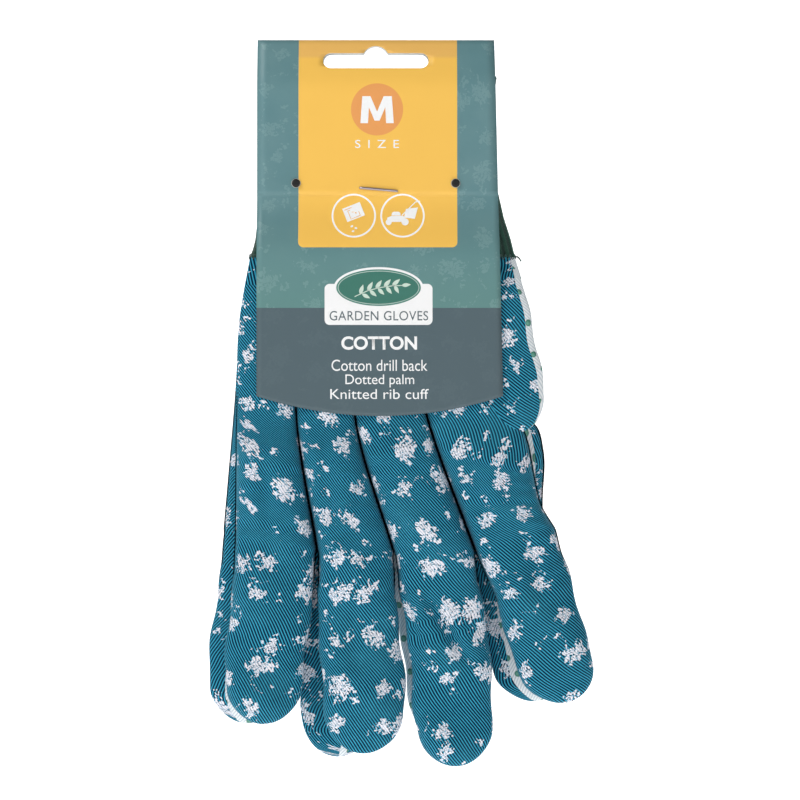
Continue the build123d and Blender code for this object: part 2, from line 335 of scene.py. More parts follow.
def make_dotted_cotton():
    finish, tree, shader, pattern = new_finish("dotted_cotton")
    weave = place_group(tree, twill_weave, Pattern=pattern, Lean=-38.0)
    x, y = split(tree, pattern)
    row = calc(tree, "FLOOR", calc(tree, "DIVIDE", y, dot_pitch))
    stagger = calc(tree, "MULTIPLY", calc(tree, "MODULO", calc(tree, "ABSOLUTE", row), 2.0), dot_pitch / 2)
    in_row = calc(tree, "PINGPONG", calc(tree, "ADD", x, stagger), dot_pitch / 2)
    in_column = calc(tree, "PINGPONG", calc(tree, "ADD", y, dot_pitch / 2), dot_pitch / 2)
    reach = calc(tree, "SQRT", calc(tree, "MULTIPLY_ADD", in_row, in_row,
                                    calc(tree, "MULTIPLY", in_column, in_column)))
    wobble = calc(tree, "MULTIPLY_ADD", fine_noise(tree, pattern, 1.5), 0.3, -0.15)
    reach = calc(tree, "ADD", reach, wobble)
    dot = calc(tree, "SUBTRACT", 1.0, step_up(tree, reach, dot_radius - 0.1, dot_radius + 0.1))
    # Painted shade: the off-white cloth is painted greyer in the twill's grooves than on its ridges.
    cloth = two_tone(tree, step_up(tree, weave["Ridge"], 0.0, 0.7), ink(198, 210, 218), ink(240, 244, 246))
    blot = fine_noise(tree, pattern, 9.0, 3.0)
    cloth = two_tone(tree, calc(tree, "MULTIPLY", step_up(tree, blot, 0.5, 0.8), 0.25),
                     cloth, ink(214, 224, 226))
    # Painted shade: each green dot is painted lighter at its middle and darker towards its rim, as light
    # falls on a dome.
    dot_green_with_painted_shade = two_tone(tree, step_up(tree, reach, 0.2, dot_radius), ink(104, 164, 146), ink(70, 132, 116))
    tree.links.new(two_tone(tree, dot, cloth, dot_green_with_painted_shade), shader.inputs["Base Color"])
    tree.links.new(calc(tree, "MULTIPLY_ADD", dot, -0.38, 0.86), shader.inputs["Roughness"])
    shader.inputs["Specular IOR Level"].default_value = 0.3
    dome = calc(tree, "SUBTRACT", 1.0, step_up(tree, reach, 0.2, dot_radius + 0.1))
    height = calc(tree, "MULTIPLY_ADD", dome, 3.0, calc(tree, "MULTIPLY", weave["Height"], 0.8))
    raise_surface(tree, shader, height, 0.00015, 0.8)
    return finish


dotted_cotton = make_dotted_cotton()


# ---------------------------------------------------------------------------------------------
# The sewn gloves: a back cut from printed drill and a palm cut from dotted cotton, joined edge
# to edge and turned, so every seam is a soft outer edge. Each lies flat, slightly puffed, with
# valleys that run from the forks of the fingers up into the hand.
# ---------------------------------------------------------------------------------------------

lobe_columns = 26            # strips across one finger
tip_rows = 16                # rows round a finger's end
seam_depth = 3.25            # from the middle of the pack to a glove's seam line
wrist_seam_depth = 1.7       # the same at the wrist, where the cuff holds it flat
wrist_end = 62.7             # mm below the hang slot: the hand starts to thicken
hand_start = 76.0            # and has its full thickness under the card
card_end = 113.5             # mm below the hang slot: the card stops pressing on the cloth
free_start = 128.0           # and the cloth is fully puffed
back_puff = 2.7              # rise of the back cloth over its seams, under the card
back_swell = 3.6             # how much more it rises below the card
back_puff_wrist = 1.5
palm_puff = 2.85             # the same for the palm cloth, towards the other glove
palm_puff_wrist = 1.2
palm_clearance = 0.12        # the palm cloth never comes nearer to the middle than this
thumb_root_half = 12.4       # half of the thumb's root, across
crotch_rise, outer_rise = 6.6, 9.4
hand_flare = 1.6             # how far the hand stands out past the cuff at the thumb's height

joint_at = {j["name"]: j for j in frame["record"]["behaviour"]["joints"]}


def flow(points, shares):
    """A smooth line through the points, sampled at shares of its length."""
    p = np.array(points, float)
    run = np.concatenate([[0], np.cumsum(np.linalg.norm(np.diff(p[:, :2], axis=0), axis=1))])
    run /= run[-1]
    slope = np.gradient(p, run, axis=0)
    shares = np.clip(np.asarray(shares, float), 0, 1)
    i = np.clip(np.searchsorted(run, shares, side="right") - 1, 0, len(run) - 2)
    width = (run[i + 1] - run[i])[:, None]
    t = ((shares - run[i]) / (run[i + 1] - run[i]))[:, None]
    return ((2 * t**3 - 3 * t**2 + 1) * p[i] + (t**3 - 2 * t**2 + t) * width * slope[i]
            + (3 * t**2 - 2 * t**3) * p[i + 1] + (t**3 - t**2) * width * slope[i + 1])


def ease(value, low, high):
    t = np.clip((value - low) / (high - low), 0, 1)
    return t * t * (3 - 2 * t)


def ripples(seed, wave, count=6):
    """A gentle unevenness of about unit height, with waves of about the given length in mm."""
    pick = np.random.default_rng(seed)
    angles = pick.uniform(0, math.pi, count)
    lengths = wave * pick.uniform(0.7, 1.5, count)
    starts = pick.uniform(0, 2 * math.pi, count)

    def at(x, z):
        total = 0
        for angle, length, start in zip(angles, lengths, starts):
            total = total + np.sin((x * math.cos(angle) + z * math.sin(angle))
                                   * 2 * math.pi / length + start)
        return total / math.sqrt(count)
    return at


across_lobe = (1 - np.cos(np.linspace(0, math.pi, lobe_columns + 1))) / 2


def puff(share, power, gap=0.0):
    """Height of a flattened tube at a share of its width, with a flat seam edge of the given share."""
    share = np.clip((share - gap) / (1 - 2 * gap), 0, 1)
    return (2 * np.sqrt(share * (1 - share))) ** power


seam_edge = 0.025            # share of a finger's width that lies flat as its seam, at the root


# Finger and thumb shapes as (distance from the root, shift to the right, width)
finger_shapes = {
    "right": {
        "little": [(0, 0, 26), (14, 0, 26), (30, 0, 25.6), (44, 0, 24.6), (57.5, 0, 20)],
        "ring": [(0, 0, 24), (16, 0, 25), (32, 0, 26), (48, 0, 26), (64.5, -0.6, 22)],
        "middle": [(0, 0, 25), (14, 0.4, 25.6), (34, 0.8, 25.6), (52, 0.4, 25), (68.5, -0.6, 21)],
        "index": [(0, 0, 26), (14, 0, 25), (28, 0, 24.6), (40, 0, 24.2), (54.5, 0.4, 20)],
    },
    "left": {
        "little": [(0, 0, 25), (14, 0, 25.4), (30, 0, 25.4), (44, 0, 25), (60.5, 0.6, 20)],
        "ring": [(0, 0, 24), (16, 0, 24.6), (34, 0, 25), (50, 0, 25), (67, 0.2, 20)],
        "middle": [(0, 0, 24), (16, 0, 24.6), (32, 0, 24.6), (46, 0, 24.4), (62, 0, 20)],
        "index": [(0, 0, 24.4), (14, 0, 24.4), (28, 0, 24.4), (40, 0, 24), (53.5, 0, 20)],
    },
}
# Where the valleys between fingers start, at the height of the card's lower edge
valley_tops = {"right": [(-44.4, -110), (-25.4, -112), (-6.6, -114), (16.4, -114)],
               "left": [(-45.6, -110), (-25.4, -112), (-6.6, -114), (16.4, -114)]}
# The edge on the thumb's side, from the thumb's crotch down to the index finger's root
hand_edges = {
    "right": [(21.0, -83), (24.6, -100), (32.0, -107.2), (40.0, -108.4), (45.0, -113.2), (48.4, -121.0),
              (50.4, -131), (53.0, -142)],
    "left": [(21.0, -83), (24.2, -101), (31.0, -109.5), (39.5, -112.0), (47.0, -113.0), (51.8, -116.8),
             (53.8, -124), (53.6, -141)],
}
thumb_shape = {"right": [(0, 0, 25), (12, 0.8, 26), (26, 1.8, 25.8), (38, 3.9, 21.8), (48.8, 7.0, 14)],
               "left": [(0, 0, 25), (12, 0, 25), (26, 0, 25), (38, 0, 24.6), (47, 0, 20)]}
# Pleats as (start, end, depth, width)
pleats = {
    "right": [((5.0, -158), (13.5, -185), 1.5, 1.0), ((16.5, -171), (28.5, -190), 1.9, 1.6),
              ((31, -96), (44, -113), 1.4, 1.6), ((-16, -118), (-14, -150), 0.7, 2.6),
              ((28, -124), (36, -150), 0.7, 2.4), ((-36, -120), (-33, -160), 0.6, 2.6),
              ((47, -150), (53, -172), 0.6, 2.4), ((-8, -168), (-6, -196), 0.5, 2.4)],
    "left": [((-44, -150), (-46, -190), 0.8, 2.4), ((18, -170), (21, -205), 0.7, 2.2)],
}


def finger_grid(root_left, root_right, down, shape, length_rows, first_column, pattern_start):
    """Rows of points down a finger from its root line to its tip: x, z, height, place down the pattern."""
    root = (root_left + root_right) / 2
    across = (root_right - root_left) / np.linalg.norm(root_right - root_left)
    level = np.array([-down[1], down[0]])
    length = shape[-1][0]
    close = shape[-1][2] * 0.52
    tip = math.pi / 2 * np.linspace(0, 1, tip_rows)
    runs = np.concatenate([np.linspace(0, length - close, length_rows)[:-1],
                           length - close + close * np.sin(tip)])
    stations = flow(shape, runs / length)
    middle = root + stations[:, [0]] * down + stations[:, [1]] * level
    heading = np.gradient(middle, runs, axis=0)
    heading /= np.linalg.norm(heading, axis=1)[:, None]
    side = np.stack([-heading[:, 1], heading[:, 0]], axis=1)
    start = 1 - ease(runs, 0, 16)[:, None]
    side = side * (1 - start) + across * start
    side /= np.linalg.norm(side, axis=1)[:, None]
    round_end = np.sqrt(np.clip(1 - (np.clip(runs - (length - close), 0, None) / close) ** 2, 0, 1))
    width = stations[:, 2] * np.maximum(round_end, 0.02)
    width[0] = np.linalg.norm(root_right - root_left)
    width[1:8] += (width[0] - width[7]) * (1 - ease(runs[1:8], 0, runs[8])) * 0.6
    uneven = (0.35 * np.sin(runs / 3.1 + first_column) + 0.45 * np.sin(runs / 7.7 + 2.1 * first_column))
    uneven = uneven * ease(runs, 4, 16) * round_end
    spread = (across_lobe - 0.5)[None, :] * width[:, None] + uneven[:, None]
    points = middle[:, None, :] + spread[:, :, None] * side[:, None, :]
    gap = seam_edge * (1 - ease(runs, 2, 22))[:, None] if first_column < 4 else 0.0
    height = puff(across_lobe[None, :], 0.72, gap) * (round_end ** 0.75)[:, None]
    pattern_down = -(pattern_start + runs)[:, None] + 0 * spread
    return np.dstack([points, height, pattern_down])


def hand_grids(glove, corners, thumb_corners):
    """The band above the thumb, and the rest of the hand down to the finger roots."""
    _, high = (np.array(v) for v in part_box(f"{glove}_hand_back"))
    cuff_low, cuff_high = (np.array(v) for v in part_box(f"{glove}_cuff"))
    top = high[2] / mm
    left, right = cuff_low[0] / mm, cuff_high[0] / mm
    crotch, outer = thumb_corners
    band_top = [(x, top) for x in np.linspace(left, right, 6)]
    inner = crotch[0]
    band_low = [(left - hand_flare, crotch[1] + 0.4)]
    band_low += [(left - hand_flare + (inner - left + hand_flare) * k / 4, crotch[1]) for k in (1, 2, 3)]
    band_low += [tuple(crotch), tuple(outer)]
    shares = np.linspace(0, 1, 9)
    grid = []
    for share in shares:
        line = [np.array(a) * (1 - share) + np.array(b) * share for a, b in zip(band_top, band_low)]
        row = []
        for k in range(5):
            cut = across_lobe if k == 0 else across_lobe[1:]
            for t in cut:
                p = line[k] * (1 - t) + line[k + 1] * t
                u = k + t
                whole = puff(u / 5, 0.5)
                parted = puff(u / 4, 0.5) if u <= 4 else puff(u - 4, 0.8)
                part = ease(share, 0.1, 1.0)
                row.append([*p, whole * (1 - part) + parted * part, 0.0])
        grid.append(row)
    band = np.array(grid)
    band[:, :, 3] = -(top - band[:, :, 1])
    depth = top - crotch[1]

    lines = [[band_low[0], (left - 3.2, -82), valley_tops[glove][0], tuple(corners[0])]]
    for k in (1, 2, 3):
        above, below = band_low[k], valley_tops[glove][k]
        between = tuple((np.array(above) + np.array(below)) / 2)
        lines.append([above, between, below, tuple(corners[k])])
    lines.append([band_low[4], *hand_edges[glove], tuple(corners[4])])
    rows = np.concatenate([np.linspace(0, 0.42, 26)[:-1], np.linspace(0.42, 1, 64)])
    sides = [flow(line, rows) for line in lines]
    edge_rows = np.interp(rows, [0, 0.25, 0.42, 0.62, 1], [0, 0.26, 0.5, 0.8, 1])
    sides[4] = flow(lines[4], edge_rows)
    grid = []
    for j, share in enumerate(rows):
        row = []
        valley = ease(share, 0.05, 0.44)
        for k in range(4):
            cut = across_lobe if k == 0 else across_lobe[1:]
            for t in cut:
                p = sides[k][j] * (1 - t) + sides[k + 1][j] * t
                u = k + t
                flat, lobed = puff(u / 4, 0.5), puff(t, 0.72, seam_edge)
                row.append([*p, flat * (1 - valley) + lobed * valley, 0.0])
        grid.append(row)
    hand = np.array(grid)
    steps = np.linalg.norm(np.diff(hand[:, :, :2], axis=0), axis=2).mean(axis=1)
    run = depth + np.concatenate([[0], np.cumsum(steps)])
    hand[:, :, 3] = -run[:, None]
    return band, hand, run[-1]


def crease_depth(glove, x, z):
    """How far the pleats pull the cloth in at a point."""
    pull = np.zeros_like(x)
    for (x0, z0), (x1, z1), depth, width in pleats[glove]:
        run = np.array([x1 - x0, z1 - z0])
        t = np.clip(((x - x0) * run[0] + (z - z0) * run[1]) / (run @ run), 0, 1)
        gap = np.hypot(x - x0 - t * run[0], z - z0 - t * run[1])
        fade = np.sin(math.pi * np.clip(t, 0.04, 0.96)) ** 0.5
        pull += 2.0 * depth * fade * np.exp(-(gap / width) ** 2)
    return pull


def cloth_points(glove, grid, far):
    """Grid points in space, on the back of the hand (far from the other glove) or on its palm."""
    x, z, height = grid[:, :, 0], grid[:, :, 1], grid[:, :, 2]
    side = -1 if glove == "right" else 1
    slow, quick = ripples(3 + side, 34), ripples(8 + side, 11)
    below_card = ease(-z, card_end, free_start)
    near_wrist = 1 - ease(-z, wrist_end, hand_start)
    seam = seam_depth * (1 - near_wrist) + wrist_seam_depth * near_wrist
    if far:
        depth = (back_puff + back_swell * below_card) * (1 - near_wrist) + back_puff_wrist * near_wrist
        move = (0.42 + 0.35 * below_card) * slow(x, z) + 0.28 * quick(x, z) * below_card
        pucker = np.sin(0.95 * grid[:, :, 3] + 2.5 * slow(x, z)) * height * (1 - height)
        move += 1.5 * pucker * below_card - crease_depth(glove, x, z)
        away_from_seam = np.clip(height * 1.6 - 0.3, 0, 1)
        distance = seam + depth * height + move * away_from_seam * (0.35 + 0.65 * below_card)
    else:
        depth = palm_puff * (1 - near_wrist) + palm_puff_wrist * near_wrist
        sag = 0.25 * (slow(z, x) - 1) * height * below_card
        distance = np.maximum(seam - depth * height + sag, palm_clearance)
    return np.stack([x * mm, side * distance * mm, z * mm], axis=2)


# Columns of back cloth that lap round onto the palm side at a piece's left and right edge;
# below zero, the palm cloth laps round onto the back
laps = {"band": (0, -5), "thumb": (7, -5), "hand": (8, 8), "little": (8, 8), "ring": (8, 8),
        "middle": (8, 8), "index": (8, 8)}
odd_laps = {("left", "middle"): (1, 8), ("left", "ring"): (14, 8), ("left", "hand"): (8, 5),
            ("left", "thumb"): (0, 0), ("left", "band"): (0, 0)}


def put_in_scene(name, data):
    """A new object that shows a mesh, lettering, a light or a camera."""
    thing = bpy.data.objects.new(name, data)
    bpy.context.collection.objects.link(thing)
    return thing


def patterned_mesh(name, points, faces, pattern):
    """A mesh with each point's place in the flat cloth or print, in mm, as its pattern map."""
    mesh = bpy.data.meshes.new(name)
    mesh.from_pydata(points.tolist(), [], faces)
    uv = mesh.uv_layers.new(name="pattern")
    uv.data.foreach_set("uv", (pattern.reshape(-1, 2)[np.concatenate(faces)] / pattern_unit).ravel())
    return mesh


def sew_layers(glove, grids):
    """Both layers of a glove as separate meshes per piece, with shading that runs on across their cuts."""
    sheets, across = [], {}
    fingers = {name: k for k, name in enumerate(finger_shapes[glove])}
    for piece, grid in grids.items():
        far, near = cloth_points(glove, grid, True), cloth_points(glove, grid, False)
        width = far.shape[1] - 1
        round_it = np.concatenate([far, near[:, -2:0:-1]], axis=1)
        left, right = odd_laps.get((glove, piece), laps[piece])
        # the pattern is measured along the cloth from a middle column that runs on into the next piece
        above, lobe = ("band", 4) if piece == "thumb" else ("hand", fingers.get(piece, 0))
        middle = 2 * lobe_columns if piece in ("hand", "band") else lobe_columns // 2
        for layer, first, last in (("back", -left, width + right), ("palm", width + right, 2 * width - left)):
            columns = np.arange(first, last + 1)
            points = round_it[:, columns % (2 * width)]
            steps = np.linalg.norm(np.diff(points, axis=1), axis=2) / mm
            run = np.concatenate([np.zeros((len(points), 1)), np.cumsum(steps, axis=1)], axis=1)
            at = min((middle if layer == "back" else 2 * width - middle) - first, last - first)
            run = (run - run[:, [at]]) * (1 if layer == "back" else -1)
            if piece not in ("hand", "band"):
                run += across[above, layer][lobe * lobe_columns + lobe_columns // 2]
            flat = np.abs((columns + width) % (2 * width) - width)
            sheets.append((f"{glove}_{piece}_{layer}", points,
                           np.dstack([run, grid[:, flat, 3]]), glove == "right"))
            if piece in ("hand", "band"):
                far_side = np.clip((np.arange(width + 1) if layer == "back" else
                                    2 * width - np.arange(width + 1)) - first, 0, last - first)
                across[piece, layer] = run[-1][far_side]
    corners, faces, start = [], [], 0
    for _, points, _, flip in sheets:
        rows, columns = points.shape[:2]
        index = np.arange(rows * columns).reshape(rows, columns)
        quads = np.stack([index[:-1, :-1], index[1:, :-1], index[1:, 1:], index[:-1, 1:]], axis=2)
        quads = quads.reshape(-1, 4)
        if not flip:
            quads = quads[:, ::-1]
        faces.append(quads)
        corners.append(points.reshape(-1, 3))
    stacked = np.concatenate(corners)
    _, same = np.unique(np.round(stacked / 2e-6).astype(np.int64), axis=0, return_inverse=True)
    same = same.reshape(-1)
    shade = np.zeros((same.max() + 1, 3))
    for points, quads in zip(corners, faces):
        a, b, c, d = (points[quads[:, i]] for i in range(4))
        normal = np.cross(c - a, d - b)
        for i in range(4):
            np.add.at(shade, same[start + quads[:, i]], normal)
        start += len(points)
    shade /= np.maximum(np.linalg.norm(shade, axis=1), 1e-12)[:, None]
    made, start = {}, 0
    for (name, _, pattern, _), quads, flat in zip(sheets, faces, corners):
        mesh = patterned_mesh(name + "_cloth", flat, quads.tolist(), pattern)
        mesh.polygons.foreach_set("use_smooth", [True] * len(quads))
        mesh.update()
        mesh.normals_split_custom_set_from_vertices(shade[same[start:start + len(flat)]].tolist())
        start += len(flat)
        piece = put_in_scene(name + "_cloth", mesh)
        mesh.materials.append(printed_drill if name.endswith("back") else dotted_cotton)
        # the band above the thumb and the hand together stand for the hand's layer
        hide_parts(name.replace("_band_", "_hand_"))
        made[name] = piece
    return made


def root_ends(name, width):
    """Both ends of a finger's root, from the joint that it bends about."""
    joint = joint_at[name]
    side = 1 if joint["pos_m"][1] > 0 else -1
    middle = np.array([joint["pos_m"][0], joint["pos_m"][2]]) / mm
    across = side * np.array([joint["axis"][0], joint["axis"][2]])
    return middle - across * width / 2, middle + across * width / 2, np.array([across[1], -across[0]])


def make_glove(glove):
    shapes = finger_shapes[glove]
    ends = [root_ends(f"{glove}_{name}_bend", shape[0][2]) for name, shape in shapes.items()]
    corners = [ends[0][0]] + [(ends[k][1] + ends[k + 1][0]) / 2 for k in range(3)] + [ends[3][1]]
    pivot = joint_at[f"{glove}_thumb_spread"]["pos_m"]
    px, pz = pivot[0] / mm, pivot[2] / mm
    crotch = np.array([px - thumb_root_half, pz + crotch_rise])
    outer = np.array([px + thumb_root_half, pz + outer_rise])
    lean = math.radians(8.0 if glove == "right" else 6.0)
    heading = {name: end[2] for name, end in zip(shapes, ends)}
    heading["thumb"] = np.array([math.sin(lean), -math.cos(lean)])
    band, hand, pattern_start = hand_grids(glove, corners, (crotch, outer))
    whole = {"hand": hand, "band": band}
    whole["thumb"] = finger_grid(crotch, outer, heading["thumb"], thumb_shape[glove], 30, 4,
                                 -band[-1, 0, 3])
    roots = {"thumb": (crotch + outer) / 2}
    for k, (name, shape) in enumerate(shapes.items()):
        whole[name] = finger_grid(corners[k], corners[k + 1], heading[name], shape, 40, k, pattern_start)
        roots[name] = (corners[k] + corners[k + 1]) / 2
    return whole, roots, heading


for glove in ("left", "right"):
    grids, roots, heading = make_glove(glove)
    for name, piece in sew_layers(glove, grids).items():
        part = name.split("_")[1]
        if part in ("hand", "band"):
            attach(piece, "pack")
            continue
        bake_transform(piece)


# ---------------------------------------------------------------------------------------------
# Knitted cuffs: a dark green one-by-one rib, knitted as a tube that narrows to the top, where
# it ends in a rolled edge. It is sewn to the hand with an overlocked seam.
# ---------------------------------------------------------------------------------------------

rib_count = 78
rib_steps = 6
knit_middle = 1.7            # from the middle of the pack to the cuff's own middle
knit_half = 1.08             # half of the flattened cuff's thickness
knit_wall = 0.8              # thickness of the knit, and so the step in to the inside
hem_drop = 0.9               # the tube turns in this far below its rolled edge
inside_depth = 16            # how far down the inside of the tube goes


def flat_loop(left, right, half, shares):
    """Points round a flattened tube, at shares of its way round, starting at the left edge."""
    width = right - left
    straight = width - 2 * half
    total = 2 * straight + 2 * math.pi * half
    run = (np.asarray(shares) % 1.0) * total
    x, y, nx, ny = (np.zeros_like(run) for _ in range(4))
    turn = math.pi * half
    part = run < straight
    x[part], y[part], ny[part] = left + half + run[part], half, 1
    part = (run >= straight) & (run < straight + turn)
    a = math.pi / 2 - (run[part] - straight) / half
    x[part], y[part] = right - half + half * np.cos(a), half * np.sin(a)
    nx[part], ny[part] = np.cos(a), np.sin(a)
    part = (run >= straight + turn) & (run < 2 * straight + turn)
    x[part], y[part], ny[part] = right - half - (run[part] - straight - turn), -half, -1
    part = run >= 2 * straight + turn
    a = -math.pi / 2 - (run[part] - 2 * straight - turn) / half
    x[part], y[part] = left + half + half * np.cos(a), half * np.sin(a)
    nx[part], ny[part] = np.cos(a), np.sin(a)
    return x, y, nx, ny


def cuff_edges(glove, z):
    """Left and right edge of a cuff at a height, from the corners of the CAD cuff."""
    low, high = (np.array(v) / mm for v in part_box(f"{glove}_cuff"))
    share = np.clip((z - low[2]) / (high[2] - low[2]), 0, 1)
    right = np.interp(share, [0, 0.1, 0.22, 0.42, 0.7, 0.92, 1], [0, -1.5, -3.8, -6.4, -7.2, -6.6, -5.9])
    left = np.interp(share, [0, 0.05, 0.1, 0.25, 0.6, 1], [0, 1.1, 1.9, 2.7, 3.2, 3.0])
    return low[0] + left, high[0] + right


def surface(name, points, pattern, finish, closed=True, flip=False):
    """A mesh from rows of points; closed joins the last column to the first."""
    rows, columns = points.shape[:2]
    index = np.arange(rows * columns).reshape(rows, columns)
    across = np.roll(index, -1, axis=1) if closed else index[:, 1:]
    here = index if closed else index[:, :-1]
    quads = np.stack([here[:-1], across[:-1], across[1:], here[1:]], axis=2).reshape(-1, 4)
    if flip:
        quads = quads[:, ::-1]
    mesh = patterned_mesh(name, points.reshape(-1, 3) * mm, quads.tolist(), pattern)
    mesh.polygons.foreach_set("use_smooth", [True] * len(quads))
    mesh.update()
    mesh.materials.append(finish)
    return put_in_scene(name, mesh)


def make_rib_knit():
    finish, tree, shader, pattern = new_finish("rib_knit")
    x, y = split(tree, pattern)
    rib = calc(tree, "MULTIPLY_ADD", calc(tree, "COSINE", calc(tree, "MULTIPLY", x, math.pi)), 0.5, 0.5)
    slant = calc(tree, "MULTIPLY", calc(tree, "PINGPONG", x, 0.5), 5.0)
    stitch = calc(tree, "SINE", calc(tree, "MULTIPLY", calc(tree, "ADD", y, slant), 2 * math.pi / 1.15))
    stitch = calc(tree, "MULTIPLY_ADD", stitch, 0.5, 0.5)
    fuzz = fine_noise(tree, pattern, 0.9, 3.0)
    # Painted shade and highlight: the knit is painted darker in the grooves between ribs and lighter on the
    # stitch tops; the fuzz patches are random tone.
    rib_groove_painted_shade = two_tone(tree, step_up(tree, rib, 0.1, 0.8), ink(12, 40, 34), ink(34, 84, 68))
    knit_colour_with_painted_light = two_tone(tree, calc(tree, "MULTIPLY", stitch, 0.45), rib_groove_painted_shade, ink(70, 122, 104))
    knit_colour_with_painted_light = two_tone(tree, calc(tree, "MULTIPLY", step_up(tree, fuzz, 0.55, 0.75), 0.3), knit_colour_with_painted_light, ink(96, 140, 124))
    tree.links.new(knit_colour_with_painted_light, shader.inputs["Base Color"])
    shader.inputs["Roughness"].default_value = 0.9
    shader.inputs["Specular IOR Level"].default_value = 0.2
    shader.inputs["Sheen Weight"].default_value = 0.2
    height = calc(tree, "MULTIPLY_ADD", stitch, 0.7, calc(tree, "MULTIPLY", fuzz, 0.6))
    raise_surface(tree, shader, height, 0.0003, 0.9)
    return finish


rib_knit = make_rib_knit()


def make_cuff(glove):
    side = -1 if glove == "right" else 1
    low, high = (np.array(v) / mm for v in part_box(f"{glove}_cuff"))
    shares = np.linspace(0, 1, rib_count * rib_steps, endpoint=False)
    rib_wave = np.cos(shares * rib_count * 2 * math.pi)
    slow = ripples(21 + side, 26)
    rows, pattern = [], []
    outer = np.linspace(low[2], high[2] - hem_drop, 54)
    inner = np.linspace(high[2] - hem_drop, high[2] - inside_depth, 12)
    for wall, heights in ((0.0, outer), (knit_wall, inner)):
        for z in heights:
            left, right = cuff_edges(glove, z)
            half = knit_half - wall
            x, y, nx, ny = flat_loop(left + wall, right - wall, half, shares)
            lift = 0.16 * rib_wave + 0.10 * slow(x, z + 40 * ny)
            x, y = x + nx * lift, y + ny * lift
            rows.append(np.stack([x, side * (knit_middle + y), np.full_like(x, z)], axis=1))
            pattern.append(np.stack([shares * rib_count * 2, np.full_like(x, z - 3 * wall)], axis=1))
    piece = surface(f"{glove}_cuff_knit", np.array(rows), np.array(pattern), rib_knit, flip=side < 0)
    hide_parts(f"{glove}_cuff")
    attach(piece, "pack")

    # the rolled edge: a soft bead with the ribs running over it
    z = high[2] - 0.85
    left, right = cuff_edges(glove, z)
    x, y, nx, ny = flat_loop(left, right, knit_half, shares)
    rows, pattern = [], []
    for angle in np.linspace(0, 2 * math.pi, 13):
        radius = 0.42 + 0.10 * rib_wave
        out = radius * math.cos(angle) - 0.30
        rows.append(np.stack([x + nx * out, side * (knit_middle + y + ny * out),
                              z + 0.80 + (radius + 0.25) * math.sin(angle) - 0.62], axis=1))
        pattern.append(np.stack([shares * rib_count * 2, np.full_like(x, angle)], axis=1))
    hem = surface(f"{glove}_cuff_rolled_edge", np.array(rows), np.array(pattern), rib_knit, flip=side > 0)
    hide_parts(f"{glove}_cuff_hem")
    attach(hem, "pack")


for glove in ("left", "right"):
    make_cuff(glove)


# ---------------------------------------------------------------------------------------------
# Overlocked wrist seams: a coil of dark green thread that binds the hand's raw edge to the cuff,
# with one loose end left long at the thumb's side.
# ---------------------------------------------------------------------------------------------

def make_thread():
    finish, tree, shader, pattern = new_finish("sewing_thread")
    x, y = split(tree, pattern)
    winding = calc(tree, "MULTIPLY_ADD", x, 2 * math.pi / 0.5, calc(tree, "MULTIPLY", y, 6.0))
    twist = calc(tree, "SINE", winding)
    twist = calc(tree, "MULTIPLY_ADD", twist, 0.5, 0.5)
    # Painted shade: the thread is painted dark in the grooves of its twist and light on its plies.
    tree.links.new(two_tone(tree, twist, ink(18, 62, 58), ink(60, 118, 108)), shader.inputs["Base Color"])
    shader.inputs["Roughness"].default_value = 0.7
    shader.inputs["Sheen Weight"].default_value = 0.3
    raise_surface(tree, shader, twist, 0.0001)
    return finish


sewing_thread = make_thread()


def tube(name, path, radius, finish, sides=5):
    """A thin round tube along a path of points in mm, with a pattern that counts mm along it."""
    path = np.array(path, float)
    ahead = np.gradient(path, axis=0)
    ahead /= np.linalg.norm(ahead, axis=1)[:, None]
    up = np.cross(ahead, [0.31, 0.72, 0.62])
    up /= np.linalg.norm(up, axis=1)[:, None]
    out = np.cross(ahead, up)
    run = np.concatenate([[0], np.cumsum(np.linalg.norm(np.diff(path, axis=0), axis=1))])
    turn = np.linspace(0, 2 * math.pi, sides, endpoint=False)
    rings = path[:, None] + radius * (up[:, None] * np.cos(turn)[None, :, None]
                                      + out[:, None] * np.sin(turn)[None, :, None])
    pattern = np.dstack([np.repeat(run[:, None], sides, 1), np.repeat(turn[None], len(path), 0)])
    return surface(name, rings, pattern, finish)


thread_loops = 118
points_per_loop = 12
coil_radius, loose_radius = 0.17, 0.15
edge_gap = 0.2               # the binding stands this far in from the cuff's two edges


def make_wrist_seam(glove):
    side = -1 if glove == "right" else 1
    low, _ = (np.array(v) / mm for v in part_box(f"{glove}_wrist_seam"))
    shares = np.linspace(0, 1, thread_loops * points_per_loop)
    left, right = cuff_edges(glove, low[2])
    x, y, nx, ny = flat_loop(left + edge_gap, right - edge_gap, knit_half + 0.12, shares)
    wind = shares * thread_loops * 2 * math.pi
    sag = 0.25 * np.sin(shares * 37) + 0.15 * np.sin(shares * 91)
    out = 0.22 + 0.34 * np.cos(wind)
    path = np.stack([x + nx * out, side * (knit_middle + y + ny * out), low[2] + 0.25 + sag * 0.4
                     + 0.75 * np.sin(wind)], axis=1)
    piece = tube(f"{glove}_wrist_overlock", path, coil_radius, sewing_thread)
    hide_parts(f"{glove}_wrist_seam")
    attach(piece, "pack")
    edge = np.array([right - edge_gap, side * knit_middle, low[2] + 0.2])
    turns = np.linspace(0, 1, 14)
    loose = edge + np.stack([0.4 + 1.9 * turns, -side * 0.6 * turns + 0.2 * np.sin(5 * turns),
                             -1.1 * turns ** 1.6 + 0.35 * np.sin(4 * turns)], axis=1)
    end = tube(f"{glove}_loose_thread_end", loose, loose_radius, sewing_thread)
    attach(end, "pack")


for glove in ("left", "right"):
    make_wrist_seam(glove)


